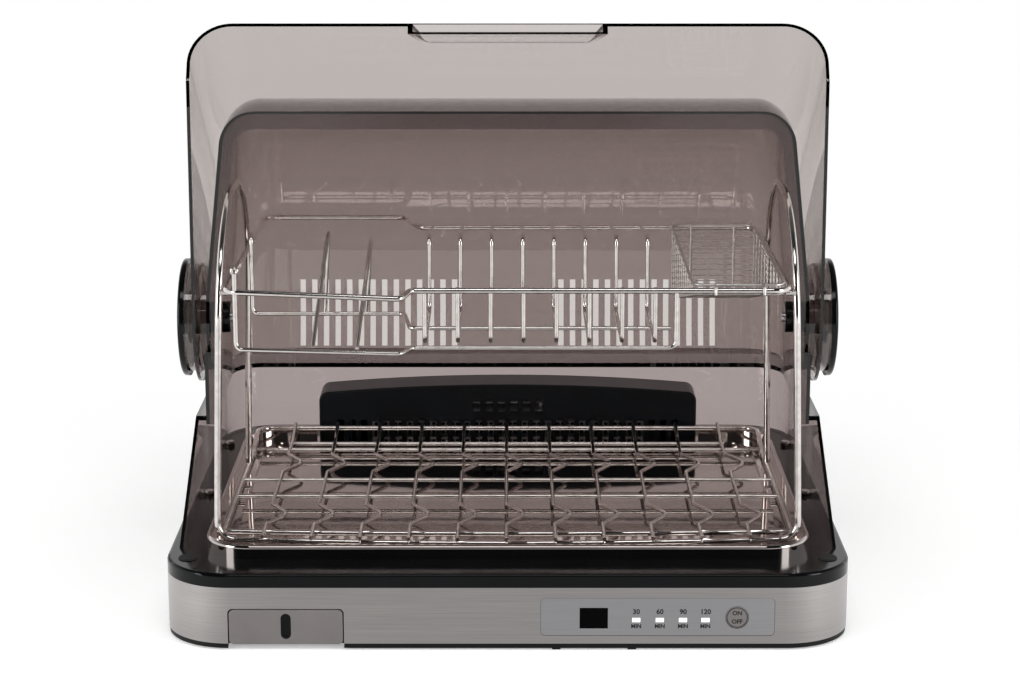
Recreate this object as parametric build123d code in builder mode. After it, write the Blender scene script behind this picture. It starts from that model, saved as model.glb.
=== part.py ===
from build123d import *
import math
import os

os.makedirs("parts", exist_ok=True)

# Electric dish dryer, in millimetres. The origin is on the ground under the middle of the base,
# X points to the viewer's right, Y to the back and Z up. The front cover is modelled open.

# Base: overall plan, the height of each layer and the sheet and wall thicknesses
base_width = 486.0
base_depth = 400.0
base_corner = 48.0
foot_height = 3.0
skirt_gap = 1.5
band_bottom = 5.0
band_top = 46.0
deck_top = 56.0
band_sheet = 1.0
pan_wall = 2.4
pan_floor = 2.5
deck_wall = 2.4
deck_edge_round = 2.2
full_turn = 360.0
half_width = base_width / 2
half_depth = base_depth / 2
nub_places = (34.0, 87.0)
nub_width = 6.0

# Clearances
overrun = 3.0
fit_gap = 0.3
slide_gap = 0.8
running_gap = 0.05

# Well in the deck, and the drip tray that hangs in it by its turned-down rim
tray_side_gap = 26.0
tray_front_gap = 33.0
tray_back_gap = 53.0
tray_corner = 34.0
tray_sheet = 1.0
tray_lip = 66.0
tray_shoulder = 59.7
tray_land = 3.0
tray_shoulder_width = 14.0
tray_round = 2.4
tray_notch_gap = 1.5
well_back_gap = 13.0
well_inset = 5.0
drain_radius = 5.0

# Covers: both are drums about the hinge axis
pivot_y = -10.0
pivot_z = 197.0
lid_radius = 171.0
lid_side_gap = 10.0
lid_wall = 2.5
lid_corner = 32.0
lid_bottom = 60.0
lid_front_gap = 12.5
lid_kink_run = 46.5
lid_rear_angle = 99.9
lid_swing = 123.0
ear_radius = 48.5
scoop_width = 146.0
scoop_far_width = 124.0
scoop_height = 26.0
scoop_depth = 6.3
scoop_corner = 9.0
rear_radius = 165.0
rear_wall = 2.5
rear_rim = 45.0
rear_arc_end = -27.5
ledge_height = 124.5
rear_back_gap = 10.0
rear_side_gap = 7.0
rear_upper_gap = 21.2
rear_upper_height = 239.0
rear_draft = 6.24
rear_corner = 26.0
rear_plan_corner = 40.0
rear_flange = 10.0
rear_top_flange = 13.0
seam_gap = 3.0
vent_count = 14
vent_width = 4.5
vent_bottom = 138.0
vent_top = 192.0
vent_side_gap = 53.2
vent_middle_gap = 43.8

# Hinges
pin_radius = 7.0
bush_wall = 2.0
hub_radius = 41.0
hub_wall = 2.5
hub_depth = 7.2
boss_radius = 13.0
pad_radius = 40.0
pad_rim = 2.5
pad_gap = 5.0
pad_rise = 4.0
cap_radius = 44.5
cap_pocket = 20.0
cap_rim = 4.4
cap_dome = 3.8
cap_wall = 2.2
retainer_radius = 11.8
retainer_depth = 12.0
hinge_screw_radius = 2.0
hinge_screw_head = 4.0

# Racks
leg_wire = 5.0
frame_wire = 4.2
cross_wire = 3.2
rib_wire = 3.0
weld_sink = 0.4
rack_height = 62.4
rack_front_gap = 50.0
rack_front_bow = 9.0
rack_second = 128.0
rack_second_bow = 6.0
rack_side_gap = 37.0
rack_back_gap = 60.0
leg_front_inset = 11.5
rack_rear_height = 68.6
rail_climb_gap = 48.0
rail_climb_run = 26.0
crossbar_places = (-36.0, 8.0, 94.0)
last_crossbar_gap = 28.0
leg_back = 53.0
leg_foot_outset = 2.5
leg_top_inset = 4.6
arch_top = 303.0
arch_round = 85.0
foot_bend = 12.0
wave_count = 11
wave_first_gap = 30.0
wave_last_gap = 32.0
wave_throw = 14.5
wave_half = 25.0
wave_peaks = (-90.0, 46.0)
wave_climb_gap = 24.0
side_bend = 6.0
peak_bend = 17.0
jog_bend = 5.0
rim_height = 247.0
rack_floor = 206.0
rim_inset = 4.2
left_rim_end = 154.0
left_rim_front = 168.0
left_rim_drop = 2.0
left_rim_back = 135.0
right_rim_front = 150.0
right_rim_back = 90.0
zone_split_gap = 12.8
zone_jog = 12.0
rib_count = 8
rib_pitch = 23.1
rib_last_gap = 14.5
rib_turn = -42.0
rib_peak = 265.0
mid_wire_right = -88.0
mid_wire_left = -40.0
end_wire_inset = 7.2
end_top = 260.0
end_eye = 1.9
end_eye_wire = 2.2
right_floor_gap = 11.0
divider_shares = (0.485, 0.7306)
divider_peaks = (274.0, 267.0)
divider_peak_y = -58.0

# Cutlery basket
basket_width = 66.0
basket_gap = 2.2
basket_front = 145.0
basket_back = 86.0
basket_rim = 251.0
basket_deep = 190.0
basket_shallow = 240.0
basket_sheet = 1.4
basket_corner = 8.0
mesh_pitch = 8.0
mesh_bar = 3.0
side_slots = 26
floor_slots = 7
floor_rows = 3
hook_wire = 2.4

# Fan and heater box
box_side_gap = 86.0
box_depth = 34.0
box_back_gap = 16.0
box_top = 103.0
box_edge_top = 96.0
box_wall = 2.0
box_corner = 8.0
box_boss = 3.2
box_boss_low = 62.0
box_boss_high = 90.0
grille_count = 30
grille_edge = 17.8
grille_slot = 5.4
grille_bottom = 58.0
grille_top = 73.0
eye_count = 6
eye_pitch = 10.4
eye_width = 6.4
eye_bottom = 80.0
eye_top = 89.0
wheel_radius = 11.5
wheel_back_gap = 16.0
wheel_z = 83.0
wheel_left_gap = 32.0
wheel_right_gap = 53.0
blade_count = 18
blade_depth = 3.4
blade_sheet = 0.8
shaft_radius = 2.0
motor_radius = 11.0
motor_left_gap = 47.0
motor_right_gap = 9.0
heater_side_gap = 45.0
heater_bottom = 56.5
heater_top = 70.5
heater_front_gap = 4.5
heater_depth = 11.0
heater_fin_pitch = 4.0
heater_fin = 1.0

# Drain drawer at the front left
drawer_side_gap = 47.9
drawer_width = 79.7
drawer_bottom = 4.4
drawer_top = 29.8
drawer_depth = 112.0
drawer_wall = 2.0
drawer_face = 3.0
drawer_corner = 3.5
drawer_travel = 80.0
grip_half_width = 3.6
grip_bottom = 8.4
grip_top = 27.0

# Control strip at the front right
panel_side_gap = 56.6
panel_width = 163.3
panel_bottom = 11.0
panel_top = 38.2
panel_sheet = 1.2
panel_corner = 3.0
panel_gap = 0.2
panel_recess = 0.25
display_inset = 27.2
display_width = 19.6
display_bottom = 16.2
display_top = 31.2
lamp_height = 22.3
lamp_insets = (66.7, 83.2, 99.4, 115.1)
lamp_width = 5.6
lamp_tall = 3.0
button_inset = 26.1
button_z = 24.2
button_radius = 8.0
button_travel = 0.8
button_gap = 0.25
board_sheet = 1.6
board_stand_off = 14.0

# Small hardware
foot_radius = 9.0
foot_side_gap = 38.0
foot_end_gap = 35.0
screw_shank = 1.6
screw_head = 3.4
screw_head_height = 1.5
boss_wall = 4.2
base_screw_length = 14.0
cover_screw_length = 10.0
gland_side_gap = 55.0
gland_z = 24.0
gland_radius = 7.5
gland_flange = 10.0
lead_radius = 3.6

# Places worked out from the sizes above: base, tray and covers
tray_width = base_width - 2 * tray_side_gap
tray_front = half_depth - tray_front_gap
tray_back = half_depth - tray_back_gap
tray_floor = deck_top + tray_sheet
well_back = half_depth - well_back_gap
well_half_width = tray_width / 2 - well_inset
well_front = tray_front - well_inset
hinge_axis = Axis((0, pivot_y, pivot_z), (1, 0, 0))
lid_half_width = half_width - lid_side_gap
lid_front = half_depth - lid_front_gap
lid_kink = lid_front - lid_kink_run
rear_back = half_depth - rear_back_gap
rear_half_width = half_width - rear_side_gap
rear_upper_half_width = half_width - rear_upper_gap
vent_end = rear_upper_half_width - vent_side_gap
vent_pitch = (vent_end - vent_middle_gap) / (vent_count - 1)
vent_groups = (-vent_end, vent_middle_gap)
hub_face = lid_half_width + hub_depth
pad_face = lid_half_width - pad_gap
pocket_face = pad_face - pad_rise
boss_inner = pocket_face + fit_gap

# Places in the racks
rack_half_width = half_width - rack_side_gap
rack_front = half_depth - rack_front_gap
rack_back = half_depth - rack_back_gap
rail_climb = rack_back - rail_climb_gap
last_crossbar = rack_back - last_crossbar_gap
wave_climb = rack_back - wave_climb_gap
wave_first = wave_first_gap - rack_half_width
wave_pitch = (2 * rack_half_width - wave_first_gap - wave_last_gap) / (wave_count - 1)
leg_front_span = rack_half_width - leg_front_inset
leg_foot_spread = rack_half_width + leg_foot_outset
leg_top_spread = rack_half_width - leg_top_inset
rim_half_width = leg_top_spread - rim_inset
end_wire = rim_half_width - end_wire_inset
basket_right = rim_half_width - basket_gap
basket_left = basket_right - basket_width
right_floor_end = basket_left - right_floor_gap
rib_last = right_floor_end - rib_last_gap
rib_first = rib_last - rib_pitch * (rib_count - 1)
zone_split = rib_first - zone_split_gap

# Places in the fan box
box_half_width = half_width - box_side_gap
box_back = half_depth - box_back_gap
tray_notch = box_half_width + tray_notch_gap
box_front = box_back - box_depth
grille_pitch = 2 * (box_half_width - grille_edge) / (grille_count - 1)
wheel_y = box_back - wheel_back_gap
wheel_left = wheel_left_gap - box_half_width
wheel_right = box_half_width - wheel_right_gap
motor_left = box_half_width - motor_left_gap
motor_right = box_half_width - motor_right_gap
heater_half_width = box_half_width - heater_side_gap
heater_front = box_front + heater_front_gap
heater_back = heater_front + heater_depth

# Places along the front, and the small hardware
drawer_left = drawer_side_gap - half_width
drawer_right = drawer_left + drawer_width
panel_right = half_width - panel_side_gap
panel_left = panel_right - panel_width
display_left = panel_left + display_inset
display_right = display_left + display_width
lamp_places = tuple(panel_left + inset for inset in lamp_insets)
button_x = panel_right - button_inset
foot_x = half_width - foot_side_gap
foot_y = half_depth - foot_end_gap
gland_x = half_width - gland_side_gap
housing_boss_places = tuple((side * (box_half_width - box_wall - box_boss + box_wall / 3), z)
                            for side in (-1, 1) for z in (box_boss_low, box_boss_high))


def slab(width, front, back, corner, bottom, top):
    """An upright block with rounded corners, from front to back and from bottom to top."""
    with BuildPart() as block:
        with BuildSketch(Plane.XY.offset(bottom)):
            with Locations((0, (back + front) / 2)):
                RectangleRounded(width, back - front, corner)
        extrude(amount=top - bottom)
    return block.part


def brick(left, right, front, back, bottom, top):
    """A plain block between two places on each axis."""
    with BuildPart() as block:
        with Locations(((left + right) / 2, (front + back) / 2, (bottom + top) / 2)):
            Box(right - left, back - front, top - bottom)
    return block.part


def rod(start, end, radius):
    """A straight round bar between two points."""
    with BuildPart() as bar:
        with BuildSketch(Plane(origin=start, z_dir=Vector(*end) - Vector(*start))):
            Circle(radius)
        extrude(amount=(Vector(*end) - Vector(*start)).length)
    return bar.part


def wire(points, thickness, bends):
    """A round wire bent through its points; bends gives the radius at each corner."""
    with BuildPart() as bar:
        with BuildLine() as route:
            FilletPolyline(*points, radius=bends)
        with BuildSketch(Plane(origin=route.line @ 0, z_dir=route.line % 0)):
            Circle(thickness / 2)
        sweep()
    return bar.part


def bowed_wire(half_span, middle, bow, height, thickness):
    """A level wire across the rack whose middle stands forward of its ends."""
    with BuildPart() as bar:
        with BuildLine() as route:
            ThreePointArc((-half_span, bow - middle, height), (0, -middle, height), (half_span, bow - middle, height))
        with BuildSketch(Plane(origin=route.line @ 0, z_dir=route.line % 0)):
            Circle(thickness / 2)
        sweep()
    return bar.part


def screw(x, y, z, length, up):
    """A pan head screw: its head's seat is at z, its shank goes up or down from there."""
    away = 1 if up else -1
    head = rod((x, y, z), (x, y, z - away * screw_head_height), screw_head)
    shank = rod((x, y, z - away * screw_head_height / 2), (x, y, z + away * length), screw_shank)
    with BuildPart() as piece:
        add(head)
        add(shank)
    return piece.part


def keep(piece, label):
    """Names a finished piece and writes it."""
    piece.label = label
    export_step(piece, f"parts/{label}.step")
    print(label, round(piece.volume), len(piece.solids()))


# Base pan: floor, inner wall behind the steel band, and the skirt that shows below it
pan_inset = band_sheet + panel_gap
pan_under = foot_height
pan_floor_top = pan_under + pan_floor
notch_left = drawer_left - slide_gap
notch_right = drawer_right + slide_gap
notch_top = drawer_top + slide_gap
tunnel_back = drawer_depth - half_depth + overrun
pan_cavity = slab(
    base_width - 2 * (pan_inset + pan_wall), pan_inset + pan_wall - half_depth, half_depth - pan_inset - pan_wall,
    base_corner - pan_inset - pan_wall, pan_floor_top, band_top + overrun)
skirt_hollow = slab(
    base_width - 2 * (band_sheet + pan_wall), band_sheet + pan_wall - half_depth, half_depth - band_sheet - pan_wall,
    base_corner - band_sheet - pan_wall, 0, pan_under)
deck_boss_places = ((-foot_x, -foot_y + boss_wall * 4), (foot_x, -foot_y + boss_wall * 4),
                    (-foot_x, foot_y - boss_wall * 4), (foot_x, foot_y - boss_wall * 4))
with BuildPart() as base_pan:
    add(slab(base_width - band_sheet, (band_sheet - base_depth) / 2, (base_depth - band_sheet) / 2,
             base_corner - band_sheet / 2, skirt_gap, band_bottom))
    add(slab(base_width - 2 * pan_inset, pan_inset - half_depth, half_depth - pan_inset,
             base_corner - pan_inset, band_bottom, band_top - fit_gap))
    add(pan_cavity, mode=Mode.SUBTRACT)
    add(skirt_hollow, mode=Mode.SUBTRACT)
    # opening for the drawer, through the skirt and the wall
    add(brick(notch_left, notch_right, -half_depth - overrun, pan_inset + pan_wall - half_depth + overrun,
              0, notch_top), mode=Mode.SUBTRACT)
    # opening behind the control strip
    add(brick(panel_left + panel_corner, panel_right - panel_corner, -half_depth - overrun,
              pan_inset + pan_wall - half_depth + overrun, panel_bottom + panel_corner,
              panel_top - panel_corner), mode=Mode.SUBTRACT)
    # hole for the lead's gland
    add(rod((gland_x, half_depth - pan_inset - pan_wall - overrun, gland_z), (gland_x, half_depth + overrun, gland_z),
            gland_radius + panel_gap), mode=Mode.SUBTRACT)
    for x, y in deck_boss_places:
        add(rod((x, y, 0), (x, y, pan_floor_top + overrun), screw_shank + panel_gap), mode=Mode.SUBTRACT)
    # two small nubs under the front edge of the skirt
    for x in nub_places:
        add(brick(x - nub_width / 2, x + nub_width / 2, band_sheet - half_depth, band_sheet + pan_wall - half_depth,
                  fit_gap, band_bottom - band_sheet))
    # guide rails on both sides of the drawer
    for rail_x in (notch_left - pan_wall, notch_right):
        add(brick(rail_x, rail_x + pan_wall, pan_inset + pan_wall - half_depth - panel_gap, tunnel_back,
                  pan_floor_top - panel_gap, notch_top))
keep(base_pan.part, "base_pan")

with BuildPart() as rubber_feet:
    with BuildSketch():
        with GridLocations(2 * foot_x, 2 * foot_y, 2, 2):
            Circle(foot_radius)
    extrude(amount=foot_height)
    chamfer(rubber_feet.edges().group_by(Axis.Z)[0], foot_height / 4)
keep(rubber_feet.part, "rubber_feet")

# Brushed steel band, with the drawer's notch and the window for the control strip
with BuildPart() as base_band:
    add(slab(base_width, -half_depth, half_depth, base_corner, band_bottom, band_top))
    add(slab(base_width - 2 * band_sheet, band_sheet - half_depth, half_depth - band_sheet,
             base_corner - band_sheet, 0, band_top + overrun), mode=Mode.SUBTRACT)
    with BuildSketch(Plane.XZ.offset(half_depth + overrun)):
        with Locations(((notch_left + notch_right) / 2, notch_top - (notch_top + overrun) / 2)):
            RectangleRounded(notch_right - notch_left, notch_top + overrun, drawer_corner)
        with Locations(((panel_left + panel_right) / 2, (panel_bottom + panel_top) / 2)):
            RectangleRounded(panel_right - panel_left + 2 * panel_gap, panel_top - panel_bottom + 2 * panel_gap,
                             panel_corner + panel_gap)
    extrude(amount=-(overrun + pan_inset + overrun), mode=Mode.SUBTRACT)
    add(rod((gland_x, half_depth - overrun, gland_z), (gland_x, half_depth + overrun, gland_z),
            gland_flange + panel_gap), mode=Mode.SUBTRACT)
keep(base_band.part, "base_band")

# Deck: glossy black moulding with the tray's well
deck_floor = tray_floor - tray_sheet - deck_wall / 2
deck_cavity_top = deck_top - deck_wall
well_corner = tray_corner - well_inset
spout_x = (drawer_left + drawer_right) / 2
spout_y = tray_sheet * 8 - well_front
with BuildPart() as top_deck:
    add(slab(base_width, -half_depth, half_depth, base_corner, band_top, deck_top))
    fillet(top_deck.edges().group_by(Axis.Z)[-1], deck_edge_round)
    add(slab(base_width - 2 * deck_wall, deck_wall - half_depth, half_depth - deck_wall,
             base_corner - deck_wall, 0, deck_cavity_top), mode=Mode.SUBTRACT)
    add(slab(2 * (well_half_width + deck_wall), -well_front - deck_wall, well_back + deck_wall,
             well_corner + deck_wall, deck_floor - deck_wall, deck_top - deck_wall / 2))
    add(slab(2 * well_half_width, -well_front, well_back, well_corner, deck_floor, deck_top + overrun),
        mode=Mode.SUBTRACT)
    for x, y in deck_boss_places:
        add(rod((x, y, pan_floor_top), (x, y, deck_floor - deck_wall / 2), boss_wall))
        add(rod((x, y, 0), (x, y, deck_floor - deck_wall - overrun), screw_shank + running_gap), mode=Mode.SUBTRACT)
    add(rod((spout_x, spout_y, notch_top + fit_gap), (spout_x, spout_y, deck_floor - deck_wall / 2),
            drain_radius + deck_wall))
    add(rod((spout_x, spout_y, 0), (spout_x, spout_y, deck_top), drain_radius), mode=Mode.SUBTRACT)
    # seats for the round bumpers at the front corners, and screw holes under the rear cover
    for side in (-1, 1):
        add(rod((side * (rear_half_width - foot_radius), -tray_front + overrun, deck_cavity_top + deck_wall / 2),
                (side * (rear_half_width - foot_radius), -tray_front + overrun, deck_top + overrun),
                foot_radius / 2 + deck_wall), mode=Mode.SUBTRACT)
        for y in (pivot_y, pivot_y + rear_radius - base_corner / 2):
            add(rod((side * (rear_half_width - rear_wall - screw_head - fit_gap), y, 0),
                    (side * (rear_half_width - rear_wall - screw_head - fit_gap), y, deck_top + overrun),
                    screw_shank + running_gap), mode=Mode.SUBTRACT)
keep(top_deck.part, "top_deck")

bumper_x = rear_half_width - foot_radius
with BuildPart() as deck_bumpers:
    with BuildSketch(Plane.XY.offset(deck_cavity_top + deck_wall / 2)):
        with Locations((-bumper_x, overrun - tray_front), (bumper_x, overrun - tray_front)):
            Circle(foot_radius / 2 + deck_wall - panel_gap)
    extrude(amount=deck_wall)
    fillet(deck_bumpers.edges().group_by(Axis.Z)[-1], deck_wall / 3)
keep(deck_bumpers.part, "deck_bumpers")

# Drip tray: turned-down rim on the deck, a shoulder for the rack, and a polished floor
with BuildPart() as drip_tray:
    add(slab(tray_width, -tray_front, tray_back, tray_corner, deck_top, tray_lip))
    fillet(drip_tray.edges().group_by(Axis.Z)[-1], tray_round)
    lower = tray_land + tray_sheet
    shoulder = lower + tray_shoulder_width
    # under the rim, and under the shoulder
    add(slab(tray_width - 2 * tray_sheet, tray_sheet - tray_front, tray_back - tray_sheet,
             tray_corner - tray_sheet, deck_top - overrun, tray_shoulder - tray_sheet)
        - slab(tray_width - 2 * (shoulder - tray_sheet), shoulder - tray_sheet - tray_front,
               tray_back - shoulder + tray_sheet, tray_corner - shoulder / 2, deck_top - 2 * overrun, tray_lip),
        mode=Mode.SUBTRACT)
    add(slab(tray_width - 2 * tray_sheet, tray_sheet - tray_front, tray_back - tray_sheet,
             tray_corner - tray_sheet, deck_top, tray_lip - tray_round - tray_sheet)
        - slab(tray_width - 2 * tray_land, tray_land - tray_front, tray_back - tray_land,
               tray_corner - tray_land, deck_top - overrun, tray_lip), mode=Mode.SUBTRACT)
    # the hollow above the shoulder and above the floor
    add(slab(tray_width - 2 * lower, lower - tray_front, tray_back - lower, tray_corner - lower,
             tray_shoulder, tray_lip + overrun), mode=Mode.SUBTRACT)
    add(slab(tray_width - 2 * shoulder, shoulder - tray_front, tray_back - shoulder,
             tray_corner - shoulder / 2 - tray_sheet, tray_floor, tray_lip + overrun), mode=Mode.SUBTRACT)
    add(rod((spout_x, spout_y + shoulder, 0), (spout_x, spout_y + shoulder, tray_lip), drain_radius / 2),
        mode=Mode.SUBTRACT)
    # the rim is left out in front of the fan box, and closed at the two ends
    add(brick(-tray_notch, tray_notch, tray_back - lower, tray_back + overrun, tray_shoulder, tray_lip + overrun),
        mode=Mode.SUBTRACT)
    add(brick(-tray_notch, tray_notch, tray_back - lower, tray_back, tray_shoulder - tray_sheet, tray_shoulder))
    for side in (-1, 1):
        end_x = side * (tray_notch + tray_sheet / 2)
        add(brick(end_x - tray_sheet / 2, end_x + tray_sheet / 2, tray_back - lower, tray_back - tray_sheet,
                  tray_shoulder - tray_sheet, tray_lip - tray_round))
keep(drip_tray.part, "drip_tray")

# Drain drawer: face, water box and the upright grip in its face
drawer_middle = (drawer_left + drawer_right) / 2
drawer_base = pan_floor_top + fit_gap
box_roof = drawer_top - drawer_corner
with BuildPart() as drain_drawer:
    with BuildSketch(Plane.XZ.offset(half_depth)):
        with Locations((drawer_middle, (drawer_bottom + drawer_top) / 2)):
            RectangleRounded(drawer_right - drawer_left, drawer_top - drawer_bottom, drawer_corner)
    extrude(amount=-drawer_face)
    fillet(drain_drawer.faces().sort_by(Axis.Y)[0].edges(), slide_gap / 2)
    add(brick(drawer_left, drawer_right, drawer_face / 2 - half_depth, drawer_depth - half_depth,
              drawer_base, box_roof))
    add(brick(drawer_left + drawer_wall, drawer_right - drawer_wall, drawer_face - half_depth,
              drawer_depth - half_depth - drawer_wall, drawer_base + drawer_wall, drawer_top + overrun),
        mode=Mode.SUBTRACT)
    with BuildSketch(Plane.XZ.offset(half_depth + overrun)):
        with Locations((drawer_middle, (grip_bottom + grip_top) / 2)):
            SlotOverall(grip_top - grip_bottom, 2 * grip_half_width, rotation=90)
    extrude(amount=-(overrun + drawer_face / 2), mode=Mode.SUBTRACT)
keep(drain_drawer.part, "drain_drawer")

with BuildPart() as drawer_grip:
    with BuildSketch(Plane.XZ.offset(half_depth - drawer_face / 2)):
        with Locations((drawer_middle, (grip_bottom + grip_top) / 2)):
            SlotOverall(grip_top - grip_bottom - panel_gap, 2 * grip_half_width - panel_gap, rotation=90)
    extrude(amount=drawer_face / 2 - panel_gap)
    with BuildSketch(Plane.XZ.offset(half_depth)):
        with Locations((drawer_middle, (grip_bottom + grip_top) / 2)):
            SlotOverall(grip_top - grip_bottom - grip_half_width, grip_half_width, rotation=90)
    extrude(amount=-drawer_face / 3, mode=Mode.SUBTRACT)
keep(drawer_grip.part, "drawer_grip")

# Control strip: plate, window, lamps, button and the board behind them
panel_face = half_depth - panel_recess
panel_middle = (panel_left + panel_right) / 2
with BuildPart() as control_panel:
    with BuildSketch(Plane.XZ.offset(panel_face)):
        with Locations((panel_middle, (panel_bottom + panel_top) / 2)):
            RectangleRounded(panel_right - panel_left, panel_top - panel_bottom, panel_corner)
        with Locations(((display_left + display_right) / 2, (display_bottom + display_top) / 2)):
            Rectangle(display_right - display_left + panel_gap, display_top - display_bottom + panel_gap,
                      mode=Mode.SUBTRACT)
        with Locations(*[(x, lamp_height) for x in lamp_places]):
            Rectangle(lamp_width + panel_gap, lamp_tall + panel_gap, mode=Mode.SUBTRACT)
        with Locations((button_x, button_z)):
            Circle(button_radius + button_gap, mode=Mode.SUBTRACT)
    extrude(amount=-(pan_inset - panel_recess))
keep(control_panel.part, "control_panel")

panel_back = half_depth - pan_inset
board_front = panel_back - board_stand_off
with BuildPart() as display_window:
    with BuildSketch(Plane.XZ.offset(panel_face - panel_gap / 2)):
        with Locations(((display_left + display_right) / 2, (display_bottom + display_top) / 2)):
            Rectangle(display_right - display_left, display_top - display_bottom)
    extrude(amount=-(pan_inset + pan_wall / 2))
keep(display_window.part, "display_window")

with BuildPart() as display_module:
    add(brick(display_left, display_right, -panel_face + pan_inset + pan_wall / 2 + fit_gap, -board_front,
              display_bottom, display_top))
keep(display_module.part, "display_module")

with BuildPart() as indicator_lenses:
    with BuildSketch(Plane.XZ.offset(panel_face - panel_gap / 2)):
        with Locations(*[(x, lamp_height) for x in lamp_places]):
            Rectangle(lamp_width, lamp_tall)
    extrude(amount=board_front - panel_face + panel_gap / 2)
keep(indicator_lenses.part, "indicator_lenses")

button_rear = panel_back - board_stand_off / 2
with BuildPart() as power_button:
    with BuildSketch(Plane.XZ.offset(panel_face + panel_recess / 2)):
        with Locations((button_x, button_z)):
            Circle(button_radius)
    extrude(amount=-(pan_inset + pan_wall))
    with BuildSketch(Plane.XZ.offset(panel_back - panel_gap / 4)):
        with Locations((button_x, button_z)):
            Circle(button_radius + 2 * button_gap + panel_sheet)
    extrude(amount=-panel_sheet)
    with BuildSketch(Plane.XZ.offset(button_rear)):
        with Locations((button_x, button_z)):
            Circle(button_radius / 3)
    extrude(amount=panel_face - pan_inset - button_rear)
    fillet(power_button.faces().sort_by(Axis.Y)[0].edges(), panel_recess * 2)
keep(power_button.part, "power_button")

switch_depth = board_stand_off / 4
switch_front = board_front + switch_depth
plunger_radius = button_radius / 5
with BuildPart() as switch_plunger:
    add(rod((button_x, -button_rear, button_z), (button_x, -switch_front + switch_depth / 3, button_z),
            plunger_radius))
keep(switch_plunger.part, "switch_plunger")

with BuildPart() as power_switch:
    add(brick(button_x - button_radius / 2, button_x + button_radius / 2, -switch_front, -board_front,
              button_z - button_radius / 2, button_z + button_radius / 2))
    add(rod((button_x, -switch_front - overrun, button_z), (button_x, -board_front - panel_sheet / 2, button_z),
            plunger_radius + running_gap), mode=Mode.SUBTRACT)
keep(power_switch.part, "power_switch")

board_left = panel_left + 2 * panel_corner
board_right = panel_right - 2 * panel_corner
stand_places = (board_left + boss_wall, board_right - boss_wall)
with BuildPart() as control_board:
    add(brick(board_left, board_right, -board_front, -board_front + board_sheet,
              pan_floor_top + fit_gap / 2, panel_top))
    for x in (board_left + base_corner, board_right - base_corner):
        add(brick(x - boss_wall, x + boss_wall, -board_front + board_sheet / 2, -board_front + 3 * board_sheet,
                  lamp_height - boss_wall, lamp_height + boss_wall))
keep(control_board.part, "control_board")

# Power board with its transformer, and the lead's gland in the rear wall
power_left = base_corner
power_right = power_left + 2 * base_corner
power_front = base_corner
with BuildPart() as power_board:
    add(brick(power_left, power_right, power_front, power_front + base_corner, pan_floor_top + boss_wall,
              pan_floor_top + boss_wall + board_sheet))
    for x in (power_left + boss_wall, power_right - boss_wall):
        for y in (power_front + boss_wall, power_front + base_corner - boss_wall):
            add(rod((x, y, pan_floor_top), (x, y, pan_floor_top + boss_wall + board_sheet / 2), boss_wall / 2))
keep(power_board.part, "power_board")

core = base_corner / 2
with BuildPart() as transformer:
    add(brick(power_left + core / 2, power_left + core * 3 / 2, power_front + core / 2, power_front + core * 3 / 2,
              pan_floor_top + boss_wall + board_sheet, pan_floor_top + boss_wall + board_sheet + core))
    add(brick(power_left + core / 3, power_left + core * 5 / 3, power_front + core * 2 / 3,
              power_front + core * 4 / 3, pan_floor_top + boss_wall + 3 * board_sheet,
              pan_floor_top + boss_wall + core - board_sheet))
keep(transformer.part, "transformer")

gland_inner = half_depth - pan_inset - pan_wall - gland_radius
with BuildPart() as power_gland:
    add(rod((gland_x, gland_inner, gland_z), (gland_x, half_depth - panel_gap, gland_z), gland_radius))
    add(rod((gland_x, half_depth - pan_inset, gland_z), (gland_x, half_depth - panel_gap, gland_z), gland_flange))
    add(rod((gland_x, gland_inner - pan_wall, gland_z), (gland_x, gland_inner + fit_gap, gland_z), gland_flange))
    add(rod((gland_x, gland_inner - base_corner, gland_z), (gland_x, half_depth + overrun, gland_z), lead_radius),
        mode=Mode.SUBTRACT)
keep(power_gland.part, "power_gland")


# Fan and heater box behind the tray
def box_outline(inset):
    """The front outline of the box, with its bowed top, drawn inside by an inset."""
    with BuildSketch() as outline:
        with BuildLine():
            left = inset - box_half_width
            floor_line = deck_floor + panel_gap / 2 - overrun * (1 if inset else 0)
            shoulder_line = box_edge_top - inset
            Polyline((left, shoulder_line), (left, floor_line), (-left, floor_line), (-left, shoulder_line))
            ThreePointArc((-left, shoulder_line), (0, box_top - inset), (left, shoulder_line))
        make_face()
        fillet(outline.vertices().group_by(Axis.Y)[-1], box_corner - inset)
    return outline.sketch


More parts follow.
